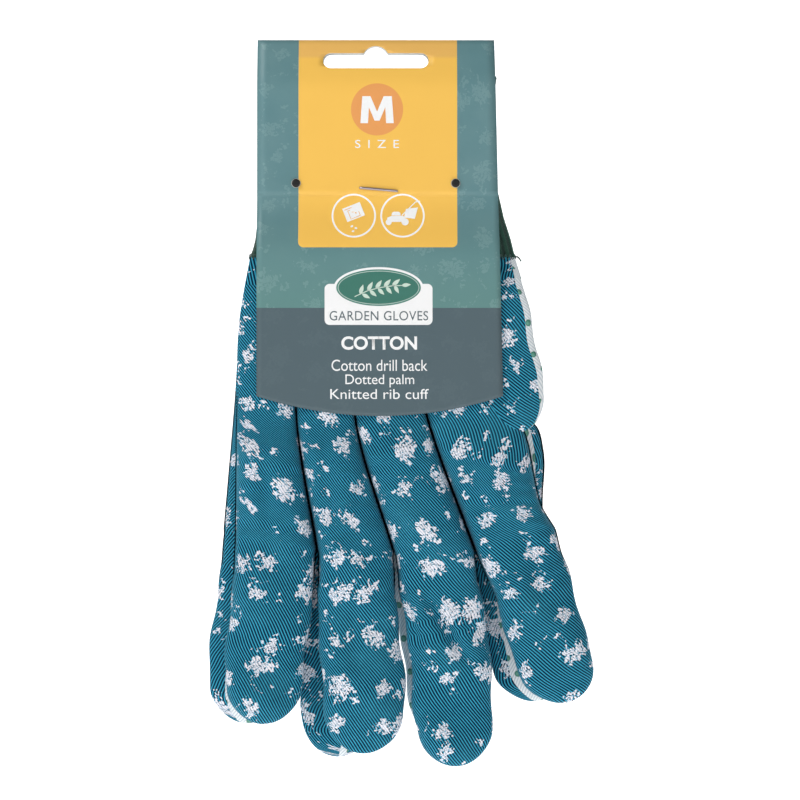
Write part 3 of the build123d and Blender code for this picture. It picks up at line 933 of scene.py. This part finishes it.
# ---------------------------------------------------------------------------------------------
# Header card: one sheet of 0.45 mm printed card, folded over the top of the gloves. It is sage
# teal with a pale flower print, an orange panel, a white label and a slate band; the cut edges
# show the white core. The staple holds its upper part, and both lower flaps hang loose.
# ---------------------------------------------------------------------------------------------

card_stock = 0.45
card_fold_width = 75.6
card_side_length = 114.0
fold_foot = -30              # height at which the two panels start to close towards the fold
card_low, card_high = (np.array(v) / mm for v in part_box("header_card"))
flap_low, flap_high = (np.array(v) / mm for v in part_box("card_front_flap"))
card_left, card_crease, card_top = card_low[0], card_low[2], card_high[2]
card_right_top = card_left + card_fold_width
narrow = card_high[1]
wide = flap_low[1] * -1


def card_right(z):
    return card_right_top + (flap_high[0] - card_right_top) * (card_top - z) / card_side_length


def card_bottom(x):
    """Height of the curved lower edge."""
    half = (flap_high[0] - card_left) / 2
    share = (x - card_left - half) / half
    corner = card_top - card_side_length
    return corner + (flap_low[2] - corner) * (1 - share ** 2)


fold_side = [(narrow, fold_foot), (narrow, -14), (narrow - 0.12, -7), (narrow - 1.15, -1.0), (1.55, 4.4),
             (0.95, 6.25), (0.45, 6.86), (0, card_top)]
fold_half = flow([(y, z) for y, z in fold_side], np.linspace(0, 1, 70))


def card_distance(z):
    """Distance of the card's outer face from the middle of the pack."""
    z = np.asarray(z, float)
    lower = narrow + (wide - narrow) * ease(-z, 44.2, 63.0)
    upper = np.interp(z, fold_half[:, 1], fold_half[:, 0])
    return np.where(z > fold_foot, upper, lower)


def on_card(x, z, side, lift=0.0):
    return np.stack([x, side * (card_distance(z) + lift), z], axis=-1)


def make_panel_mask():
    group, given, result = shader_group(
        "printed_panel",
        [("Pattern", "NodeSocketVector", None), ("Middle X", "NodeSocketFloat", 0.0),
         ("Middle Y", "NodeSocketFloat", 0.0), ("Half Width", "NodeSocketFloat", 1.0),
         ("Half Height", "NodeSocketFloat", 1.0), ("Corner", "NodeSocketFloat", 0.1)],
        [("Mask", "NodeSocketFloat")])
    x, y = split(group, given["Pattern"])
    reach = []
    for place, middle, half in ((x, "Middle X", "Half Width"), (y, "Middle Y", "Half Height")):
        off = calc(group, "ABSOLUTE", calc(group, "SUBTRACT", place, given[middle]))
        inner = calc(group, "SUBTRACT", given[half], given["Corner"])
        reach.append(calc(group, "MAXIMUM", calc(group, "SUBTRACT", off, inner), 0.0))
    length = calc(group, "SQRT", calc(group, "MULTIPLY_ADD", reach[0], reach[0],
                                      calc(group, "MULTIPLY", reach[1], reach[1])))
    gap = calc(group, "SUBTRACT", given["Corner"], length)
    group.links.new(step_up(group, gap, -0.05, 0.05), result["Mask"])
    return group


def make_spot_mask():
    group, given, result = shader_group(
        "printed_spot",
        [("Pattern", "NodeSocketVector", None), ("Middle X", "NodeSocketFloat", 0.0),
         ("Middle Y", "NodeSocketFloat", 0.0), ("Half Width", "NodeSocketFloat", 1.0),
         ("Half Height", "NodeSocketFloat", 1.0)],
        [("Mask", "NodeSocketFloat")])
    x, y = split(group, given["Pattern"])
    a = calc(group, "DIVIDE", calc(group, "SUBTRACT", x, given["Middle X"]), given["Half Width"])
    b = calc(group, "DIVIDE", calc(group, "SUBTRACT", y, given["Middle Y"]), given["Half Height"])
    reach = calc(group, "SQRT", calc(group, "MULTIPLY_ADD", a, a, calc(group, "MULTIPLY", b, b)))
    gap = calc(group, "MULTIPLY", calc(group, "SUBTRACT", 1.0, reach), given["Half Height"])
    group.links.new(step_up(group, gap, -0.05, 0.05), result["Mask"])
    return group


printed_panel = make_panel_mask()
printed_spot = make_spot_mask()
orange_left, orange_right, orange_bottom = -24.6, 25.9, -59.8
slate_top = -79.0
size_disc = (0.4, -15.7, 8.3, 8.3)
sign_height = -49.6
oval_x, oval_y = 0.9, -72.6
pin_spots = [tuple((np.array(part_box(n)[0]) + np.array(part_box(n)[1])) / 2 / mm)
             for n in ("tag_pin_left", "tag_pin_right")]


def make_card_print(name, front):
    finish, tree, shader, pattern = new_finish(name)
    _, y = split(tree, pattern)

    def panel(left, right, bottom, top, corner):
        return place_group(tree, printed_panel, Pattern=pattern, Middle_X=(left + right) / 2,
                           Middle_Y=(bottom + top) / 2, Half_Width=(right - left) / 2,
                           Half_Height=(top - bottom) / 2, Corner=corner)["Mask"]

    def spot(middle_x, middle_y, half_width, half_height):
        return place_group(tree, printed_spot, Pattern=pattern, Middle_X=middle_x, Middle_Y=middle_y,
                           Half_Width=half_width, Half_Height=half_height)["Mask"]

    flowers = place_group(tree, flower_scatter, Pattern=pattern, Spacing=11.5)["Print"]
    mottle = fine_noise(tree, pattern, 14.0, 4.0)
    sage = two_tone(tree, step_up(tree, mottle, 0.35, 0.7), ink(97, 137, 142), ink(104, 142, 146))
    sage = two_tone(tree, step_up(tree, y, -90.0, -40.0), ink(99, 142, 138), sage)
    sage = two_tone(tree, calc(tree, "MULTIPLY", flowers, 0.13), sage, ink(176, 205, 204))
    slate = two_tone(tree, calc(tree, "MULTIPLY", flowers, 0.03), ink(84, 102, 109), ink(150, 170, 175))
    colour = two_tone(tree, calc(tree, "SUBTRACT", 1.0, step_up(tree, y, slate_top - 0.05, slate_top + 0.05)),
                      sage, slate)
    if front:
        # Painted shade: the orange is painted a little darker above 1.8 mm, where the card curves over the
        # top fold.
        orange = two_tone(tree, step_up(tree, y, 0.4, 1.8), ink(251, 199, 91), ink(240, 188, 100))
        colour = two_tone(tree, panel(orange_left, orange_right, orange_bottom, 20.0, 1.7), colour, orange)
        colour = two_tone(tree, spot(*size_disc), colour, ink(238, 163, 94))
        for middle in (-7.0, 8.5):
            colour = two_tone(tree, spot(middle, sign_height, 7.05, 7.05), colour, ink(255, 255, 255))
            colour = two_tone(tree, spot(middle, sign_height, 6.5, 6.5), colour, orange)
        colour = two_tone(tree, panel(-16.2, 18.0, -84.4, -71.4, 1.6), colour, ink(250, 250, 250))
        colour = two_tone(tree, spot(oval_x, oval_y, 14.2, 6.5), colour, ink(250, 250, 250))
        colour = two_tone(tree, spot(oval_x, oval_y, 13.4, 5.8), colour, ink(74, 132, 118))
        colour = two_tone(tree, spot(oval_x, oval_y, 12.9, 5.35), colour, ink(196, 214, 206))
        colour = two_tone(tree, spot(oval_x, oval_y, 12.7, 5.15), colour, ink(64, 122, 108))
    else:
        colour = two_tone(tree, panel(-30.0, 32.0, -75.5, -52.0, 1.8), colour, ink(250, 250, 250))
        colour = two_tone(tree, spot(*size_disc), colour, ink(238, 163, 94))
    for at in pin_spots:
        colour = two_tone(tree, spot(at[0], at[2], 1.5, 1.48), colour, ink(214, 214, 208))
    tree.links.new(colour, shader.inputs["Base Color"])
    shader.inputs["Roughness"].default_value = 0.42
    shader.inputs["Specular IOR Level"].default_value = 0.35
    grain = fine_noise(tree, pattern, 0.35, 3.0)
    waves = fine_noise(tree, pattern, 9.0, 1.0)
    raise_surface(tree, shader, calc(tree, "MULTIPLY_ADD", waves, 3.0, grain), 0.00003, 0.5)
    return finish


def make_card_core():
    finish, tree, shader, pattern = new_finish("card_core")
    plies = fine_noise(tree, pattern, 0.25, 4.0)
    tree.links.new(two_tone(tree, plies, ink(226, 228, 224), ink(252, 252, 250)), shader.inputs["Base Color"])
    shader.inputs["Roughness"].default_value = 0.85
    raise_surface(tree, shader, plies, 0.00005)
    return finish


card_front_print = make_card_print("card_front_print", True)
card_back_print = make_card_print("card_back_print", False)
card_core = make_card_core()


def card_piece(name, outer, inner, finish_of, pattern, rims):
    """A sheet with a printed face, an unprinted inside and white cut edges on the named sides."""
    rows, columns = outer.shape[:2]
    index = np.arange(rows * columns).reshape(rows, columns)
    quads = np.stack([index[:-1, :-1], index[:-1, 1:], index[1:, 1:], index[1:, :-1]], axis=2)
    quads = quads.reshape(-1, 4)
    offset = rows * columns
    edges = {"left": index[:, 0], "right": index[::-1, -1], "bottom": index[-1], "top": index[0, ::-1]}
    rim = []
    for key in rims:
        line = edges[key]
        rim += [(a, b, b + offset, a + offset) for a, b in zip(line[:-1], line[1:])]
    faces = quads.tolist() + (quads[:, ::-1] + offset).tolist() + [list(map(int, f)) for f in rim]
    points = np.concatenate([outer.reshape(-1, 3), inner.reshape(-1, 3)]) * mm
    flat = np.concatenate([pattern.reshape(-1, 2)] * 2)
    mesh = patterned_mesh(name, points, faces, flat)
    for finish in (card_front_print, card_back_print, card_core):
        mesh.materials.append(finish)
    count = len(quads)
    kinds = [finish_of] * count if isinstance(finish_of, int) else list(finish_of)
    mesh.polygons.foreach_set("material_index", kinds + [2] * (len(faces) - count))
    mesh.polygons.foreach_set("use_smooth", [True] * (2 * count) + [False] * (len(faces) - 2 * count))
    mesh.update()
    piece = put_in_scene(name, mesh)
    return piece


def slot_cutter():
    """The hang slot as a solid to cut with: a bar with round ends and a raised round middle."""
    bar, rise, bump, bump_middle = 33.6 / 2, 4.9 / 2, 8.6 / 2, 0.5
    quarter = math.pi / 2
    right = [(bar - rise + rise * math.cos(a), rise * math.sin(a))
             for a in np.linspace(-quarter, quarter, 17)]
    meet = math.asin((rise - bump_middle) / bump)
    top = [(bump * math.cos(a), bump_middle + bump * math.sin(a))
           for a in np.linspace(meet, math.pi - meet, 25)]
    outline = right + top + [(-x, -y) for x, y in right]
    count = len(outline)
    points = [(x * mm, y * mm, z * mm) for y in (-9, 9) for x, z in outline]
    faces = [list(range(count)), list(range(2 * count - 1, count - 1, -1))]
    faces += [[i, i + count, (i + 1) % count + count, (i + 1) % count] for i in range(count)]
    mesh = bpy.data.meshes.new("slot_cutter")
    mesh.from_pydata(points, [], faces)
    mesh.materials.append(card_core)
    work = bmesh.new()
    work.from_mesh(mesh)
    bmesh.ops.recalc_face_normals(work, faces=work.faces)
    work.to_mesh(mesh)
    work.free()
    return put_in_scene("slot_cutter", mesh)


def make_header():
    columns = 25
    front = [(-narrow, z) for z in np.linspace(card_crease, fold_foot, 8)[:-1]]
    profile = np.array(front + [(-y, z) for y, z in fold_half] + [(y, z) for y, z in fold_half[::-1][1:]]
                       + [(narrow, z) for z in np.linspace(fold_foot, card_crease, 8)[1:]])
    profile = profile[::-1]
    ahead = np.gradient(profile, axis=0)
    ahead /= np.linalg.norm(ahead, axis=1)[:, None]
    inward = np.stack([ahead[:, 1], -ahead[:, 0]], axis=1)
    if inward[0, 0] > 0:
        inward = -inward
    inside = profile + inward * card_stock
    spread = np.linspace(0, 1, columns)
    x = card_left + spread[None, :] * (card_right(profile[:, 1]) - card_left)[:, None]
    outer, inner = (np.dstack([x, np.repeat(line[:, :1], columns, 1), np.repeat(line[:, 1:], columns, 1)])
                    for line in (profile, inside))
    pattern = outer[:, :, [0, 2]]
    back_rows = (profile[:-1, 0] + profile[1:, 0]) / 2 > 0
    kinds = np.repeat(np.where(back_rows, 1, 0)[:, None], columns - 1, 1).ravel().tolist()
    piece = card_piece("folded_header_card", outer, inner, kinds, pattern,
                       ("left", "right", "top", "bottom"))
    cutter = slot_cutter()
    cut = piece.modifiers.new("slot", "BOOLEAN")
    cut.operation, cut.object, cut.solver = "DIFFERENCE", cutter, "EXACT"
    shaped = bpy.data.meshes.new_from_object(piece.evaluated_get(bpy.context.evaluated_depsgraph_get()))
    piece.modifiers.clear()
    piece.data = shaped
    bpy.data.objects.remove(cutter)
    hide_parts("header_card")
    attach(piece, "pack")


def bend_at_crease(piece):
    """Bakes the piece's placement into its mesh points; the piece is not bent or joined to the card's upper
    part.
    """
    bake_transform(piece)


def make_flap(name, side):
    spread, down = np.linspace(0, 1, 41), np.linspace(0, 1, 60)
    x_low = card_left + spread * (flap_high[0] - card_left)
    bottom = card_bottom(x_low)
    z = card_crease + (bottom - card_crease)[None, :] * down[:, None]
    x = card_left + spread[None, :] * (card_right(z) - card_left)
    outer = on_card(x, z, side)
    inner = on_card(x, z, side, -card_stock)
    if side > 0:
        outer, inner, x, z = outer[:, ::-1], inner[:, ::-1], x[:, ::-1], z[:, ::-1]
    piece = card_piece(f"{name}_sheet", outer[::-1], inner[::-1], 0 if side < 0 else 1,
                       np.dstack([x, z])[::-1], ("left", "right", "top"))
    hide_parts(name)
    bend_at_crease(piece)


make_header()
make_flap("card_front_flap", -1)
make_flap("card_back_flap", 1)


# ---------------------------------------------------------------------------------------------
# Printing on the card: the size letter, plain words and two pictograms in white ink, the words
# of the label in grey, and a leaf sprig in the oval. Each is a thin layer that lies on the card.
# ---------------------------------------------------------------------------------------------

def make_print_ink(name, colour, other):
    finish, tree, shader, _ = new_finish(name)
    place = tree.nodes.new("ShaderNodeTexCoord").outputs["Object"]
    patchy = fine_noise(tree, place, 0.0008, 3.0)
    tree.links.new(two_tone(tree, patchy, colour, other), shader.inputs["Base Color"])
    shader.inputs["Roughness"].default_value = 0.45
    return finish


white_ink = make_print_ink("white_print_ink", ink(255, 255, 255), ink(246, 247, 247))
grey_ink = make_print_ink("grey_print_ink", ink(74, 90, 98), ink(92, 106, 112))
orange_ink = make_print_ink("orange_print_ink", ink(246, 190, 92), ink(238, 178, 92))
leaf_ink = make_print_ink("leaf_print_ink", ink(196, 220, 204), ink(220, 234, 222))


def lay_on_card(name, mesh, side, finish, body, lift=0.025):
    """Bends a flat print (mm, x to the right and y up the card) onto the card's outer face."""
    points = np.zeros(len(mesh.vertices) * 3)
    mesh.vertices.foreach_get("co", points)
    points = points.reshape(-1, 3)
    placed = on_card(points[:, 0] * (1 if side < 0 else -1), points[:, 1], side, lift) * mm
    mesh.vertices.foreach_set("co", placed.ravel())
    mesh.materials.clear()
    mesh.materials.append(finish)
    mesh.update()
    piece = put_in_scene(name, mesh)
    if body == "pack":
        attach(piece, body)
    else:
        bend_at_crease(piece)
    return piece


def words(name, text, left, right, bottom, top, side, finish, body, spacing=1.0, bold=0.0):
    """Plain lettering stretched to fill a box on the card."""
    curve = bpy.data.curves.new(name, "FONT")
    curve.body = text
    curve.space_character = spacing
    curve.offset = bold
    curve.resolution_u = 6
    holder = put_in_scene(name, curve)
    mesh = bpy.data.meshes.new_from_object(holder.evaluated_get(bpy.context.evaluated_depsgraph_get()))
    bpy.data.objects.remove(holder)
    points = np.zeros(len(mesh.vertices) * 3)
    mesh.vertices.foreach_get("co", points)
    points = points.reshape(-1, 3)
    low, high = points.min(axis=0), points.max(axis=0)
    points[:, 0] = left + (points[:, 0] - low[0]) / (high[0] - low[0]) * (right - left)
    points[:, 1] = bottom + (points[:, 1] - low[1]) / (high[1] - low[1]) * (top - bottom)
    mesh.vertices.foreach_set("co", points.ravel())
    return lay_on_card(name, mesh, side, finish, body)


def shapes(name, outlines, side, finish, body, lift=0.025):
    """Flat filled outlines, each a list of (x, y) in mm."""
    points, faces = [], []
    for outline in outlines:
        faces.append(list(range(len(points), len(points) + len(outline))))
        points += [(x, y, 0) for x, y in outline]
    mesh = bpy.data.meshes.new(name)
    mesh.from_pydata(points, [], faces)
    work = bmesh.new()
    work.from_mesh(mesh)
    bmesh.ops.triangulate(work, faces=work.faces)
    work.to_mesh(mesh)
    work.free()
    return lay_on_card(name, mesh, side, finish, body, lift)


def stroke(points, width):
    """A thin bar along two or more points, as outlines."""
    bars = []
    for (x0, y0), (x1, y1) in zip(points[:-1], points[1:]):
        length = math.hypot(x1 - x0, y1 - y0)
        nx, ny = -(y1 - y0) / length * width / 2, (x1 - x0) / length * width / 2
        ex, ey = (x1 - x0) / length * width * 0.3, (y1 - y0) / length * width * 0.3
        bars.append([(x0 + nx - ex, y0 + ny - ey), (x0 - nx - ex, y0 - ny - ey),
                     (x1 - nx + ex, y1 - ny + ey), (x1 + nx + ex, y1 + ny + ey)])
    return bars


def disc(x, y, radius, count=20, squash=1.0, lean=0.0):
    turned = []
    for i in range(count):
        a = 2 * math.pi * i / count
        dx, dy = radius * math.cos(a), radius * squash * math.sin(a)
        turned.append((x + dx * math.cos(lean) - dy * math.sin(lean),
                       y + dx * math.sin(lean) + dy * math.cos(lean)))
    return turned


def leaf(x, y, length, width, lean):
    outline = []
    for i in range(9):
        t = i / 8
        outline.append((t * length, width * math.sin(math.pi * t ** 0.8) / 2))
    for i in range(7, 0, -1):
        t = i / 8
        outline.append((t * length, -width * math.sin(math.pi * t ** 0.8) / 2))
    c, s = math.cos(lean), math.sin(lean)
    return [(x + a * c - b * s, y + a * s + b * c) for a, b in outline]


size_letter = [(-4.9, -20.1), (-4.3, -11.5), (-1.7, -11.5), (0.4, -16.4), (2.5, -11.5), (5.1, -11.5),
               (5.7, -20.1), (3.3, -20.1), (3.0, -15.0), (1.2, -19.3), (-0.4, -19.3), (-2.2, -15.0),
               (-2.5, -20.1)]


def make_front_print():
    shapes("size_letter", [size_letter], -1, white_ink, "pack")
    words("size_word", "SIZE", -6.6, 7.4, -28.0, -25.4, -1, white_ink, "pack", spacing=1.9)
    words("label_words", "GARDEN GLOVES", -14.6, 16.6, -83.0, -80.0, -1, grey_ink, "card_front", 1.06)
    words("fabric_word", "COTTON", -10.9, 13.1, -92.3, -88.0, -1, white_ink, "card_front", bold=0.03)
    words("fabric_line", "Cotton drill back", -14.0, 16.4, -99.0, -95.4, -1, white_ink, "card_front")
    words("palm_line", "Dotted palm", -9.6, 12.2, -104.2, -100.1, -1, white_ink, "card_front")
    words("cuff_line", "Knitted rib cuff", -14.4, 16.8, -107.9, -104.7, -1, white_ink, "card_front")
    c, s = math.cos(0.38), math.sin(0.38)

    def tilted(x, y):
        return (-7.0 + x * c - y * s, -48.6 + x * s + y * c)

    packet = [[tilted(*p) for p in ((-3.0, -2.1), (3.0, -2.1), (3.0, 2.5), (-3.0, 2.5))]]
    packet += [disc(-7.6, -53.0, 0.46, 12, 0.7, 0.6), disc(-6.3, -53.6, 0.46, 12, 0.7, -0.4),
               disc(-7.2, -54.6, 0.42, 12, 0.7, 0.2)]
    shapes("seed_packet_sign", packet, -1, white_ink, "card_front")
    detail = stroke([tilted(-2.5, 1.8), tilted(2.5, 1.8)], 0.22)
    picture = ((-1.6, -1.6), (1.6, -1.6), (1.6, 1.2), (-1.6, 1.2), (-1.6, -1.6))
    detail += stroke([tilted(*p) for p in picture], 0.2)
    for k in range(5):
        a = 2 * math.pi * k / 5
        detail.append(disc(*tilted(0.62 * math.cos(a), -0.2 + 0.62 * math.sin(a)), 0.34, 12))
    shapes("seed_packet_lines", detail, -1, orange_ink, "card_front", lift=0.045)
    mower = [[(3.4, -51.6), (3.7, -50.2), (5.2, -49.6), (8.6, -49.6), (9.4, -50.1), (9.4, -51.6)],
             [(5.0, -49.5), (5.2, -48.6), (5.7, -48.3), (7.3, -48.3), (7.8, -48.7), (7.9, -49.5)],
             disc(4.1, -51.7, 0.95), disc(9.3, -51.6, 1.15),
             [(9.0, -50.2), (9.6, -47.4), (13.4, -46.9), (12.4, -50.6)]]
    mower += stroke([(8.4, -49.4), (12.6, -45.2), (14.0, -44.9)], 0.32)
    shapes("lawn_mower_sign", mower, -1, white_ink, "card_front")
    sprig = stroke([(-6.6, -75.4), (-2.6, -73.6), (1.2, -72.6), (5.4, -72.0), (8.4, -71.9)], 0.28)
    for x, y, lean in ((-5.0, -74.7, 1.25), (-2.6, -73.6, 1.05), (0.0, -72.9, 0.95), (2.6, -72.4, 0.85),
                       (5.2, -72.0, 0.7)):
        sprig.append(leaf(x, y, 3.3, 1.3, lean))
        sprig.append(leaf(x + 0.7, y + 0.1, 2.9, 1.2, lean - 1.75))
    sprig.append(leaf(8.2, -71.9, 3.0, 1.2, 0.1))
    shapes("leaf_sprig", sprig, -1, leaf_ink, "card_front")


stripe_gap = 0.45
stripe_low, stripe_high = -72.5, -62.5


def make_back_print():
    shapes("back_size_letter", [[(-x, y) for x, y in size_letter]], 1, white_ink, "pack")
    words("back_fabric_word", "COTTON", -13.0, 11.0, -92.3, -88.0, 1, white_ink, "card_back", bold=0.03)
    words("back_label_words", "GARDEN GLOVES", -18.0, 14.0, -58.6, -55.0, 1, grey_ink, "card_back", 1.06)
    bars, x = [], -27.0
    thick = np.random.default_rng(5).uniform(0.2, 0.9, 52)
    for wide_bar in thick:
        bars.append([(x, stripe_low), (x + wide_bar, stripe_low),
                     (x + wide_bar, stripe_high), (x, stripe_high)])
        x += wide_bar + stripe_gap
    shapes("back_stripes", bars, 1, grey_ink, "card_back")


make_front_print()
make_back_print()


# ---------------------------------------------------------------------------------------------
# Staple and tag pins: a zinc-plated wire staple and two moulded black pins hold the card to both
# cuffs. Their shapes are the CAD ones; the wire has fine draw lines, the plastic a satin skin.
# ---------------------------------------------------------------------------------------------

def make_wire_finish():
    finish, tree, shader, _ = new_finish("staple_wire_finish")
    place = tree.nodes.new("ShaderNodeTexCoord").outputs["Object"]
    stretch = tree.nodes.new("ShaderNodeVectorMath")
    stretch.operation = "MULTIPLY"
    stretch.inputs[1].default_value = (400, 4000, 4000)
    tree.links.new(place, stretch.inputs[0])
    lines = fine_noise(tree, stretch.outputs[0], 1.0, 2.0)
    tree.links.new(two_tone(tree, lines, ink(150, 140, 152), ink(206, 198, 208)), shader.inputs["Base Color"])
    shader.inputs["Metallic"].default_value = 0.9
    tree.links.new(calc(tree, "MULTIPLY_ADD", lines, 0.25, 0.25), shader.inputs["Roughness"])
    raise_surface(tree, shader, lines, 0.00004)
    return finish


def make_pin_finish():
    finish, tree, shader, _ = new_finish("black_plastic_finish")
    place = tree.nodes.new("ShaderNodeTexCoord").outputs["Object"]
    skin = fine_noise(tree, place, 0.0004, 3.0)
    tree.links.new(two_tone(tree, skin, ink(5, 6, 7), ink(18, 19, 20)), shader.inputs["Base Color"])
    tree.links.new(calc(tree, "MULTIPLY_ADD", skin, 0.3, 0.3), shader.inputs["Roughness"])
    raise_surface(tree, shader, skin, 0.00004)
    return finish


staple_finish, pin_finish = make_wire_finish(), make_pin_finish()
for name, finish in (("staple", staple_finish), ("tag_pin_left", pin_finish), ("tag_pin_right", pin_finish)):
    node = frame["nodes"][name]
    node.data.materials.clear()
    node.data.materials.append(finish)


# ---------------------------------------------------------------------------------------------
# Studio: a plain pale sweep of floor and wall, soft light from the upper left, the right and
# behind, and a camera level with the middle of the pack.
# ---------------------------------------------------------------------------------------------

def make_studio():
    low = cad_low.z - 0.012
    profile = [(-6.0, low), (-1.2, low), (0.5, low), (0.8, low + 0.05), (0.98, low + 0.22),
               (1.02, low + 0.5), (1.02, 1.6)]
    line = flow([(y, z) for y, z in profile], np.linspace(0, 1, 60))
    points = [(x, y, z) for y, z in line for x in (-2.2, 2.2)]
    faces = [(2 * i, 2 * i + 1, 2 * i + 3, 2 * i + 2) for i in range(len(line) - 1)]
    mesh = bpy.data.meshes.new("studio_sweep")
    mesh.from_pydata(points, [], faces)
    mesh.polygons.foreach_set("use_smooth", [True] * len(faces))
    sweep = put_in_scene("studio_sweep", mesh)
    paper = bpy.data.materials.new("white_paper_sweep")
    paper.use_nodes = True
    shader = paper.node_tree.nodes["Principled BSDF"]
    shader.inputs["Base Color"].default_value = (0.9, 0.9, 0.9, 1)
    shader.inputs["Roughness"].default_value = 0.9
    shader.inputs["Emission Color"].default_value = (1, 1, 1, 1)
    shader.inputs["Emission Strength"].default_value = 0.72
    mesh.materials.append(paper)


def add_light(name, place, aim, size, power):
    light = bpy.data.lights.new(name, "AREA")
    light.shape = "RECTANGLE"
    light.size, light.size_y = size
    light.energy = power
    holder = put_in_scene(name, light)
    holder.location = place
    holder.rotation_euler = (Vector(aim) - Vector(place)).to_track_quat("-Z", "Y").to_euler()


make_studio()
middle = (0.0077, 0, -0.1082)
add_light("key_softbox", (-0.70, -0.55, 0.50), middle, (0.45, 0.45), 5.5)
add_light("fill_softbox", (0.55, -0.85, 0.15), middle, (0.8, 0.8), 1.1)
add_light("back_softbox", (0.3, 0.75, 0.5), middle, (0.7, 0.7), 3)

world = bpy.data.worlds.new("studio_air")
world.use_nodes = True
air = world.node_tree.nodes["Background"]
air.inputs[0].default_value = (1, 1, 1, 1)
air.inputs[1].default_value = 0.10
beyond = world.node_tree.nodes.new("ShaderNodeBackground")
beyond.inputs[0].default_value = (1, 1, 1, 1)
beyond.inputs[1].default_value = 1.0
seen = world.node_tree.nodes.new("ShaderNodeLightPath")
either = world.node_tree.nodes.new("ShaderNodeMixShader")
world.node_tree.links.new(seen.outputs["Is Camera Ray"], either.inputs[0])
world.node_tree.links.new(air.outputs[0], either.inputs[1])
world.node_tree.links.new(beyond.outputs[0], either.inputs[2])
world.node_tree.links.new(either.outputs[0], world.node_tree.nodes["World Output"].inputs["Surface"])
bpy.context.scene.world = world
bpy.context.scene.view_settings.view_transform = "Standard"

view_width = 0.256           # metres across the view at the middle of the pack
camera = bpy.data.cameras.new("product_camera")
camera.lens = 100
camera.sensor_width = 36
holder = put_in_scene("product_camera", camera)
holder.location = (middle[0], -view_width * camera.lens / camera.sensor_width, middle[2])
holder.rotation_euler = (math.pi / 2, 0, 0)
bpy.context.scene.camera = holder
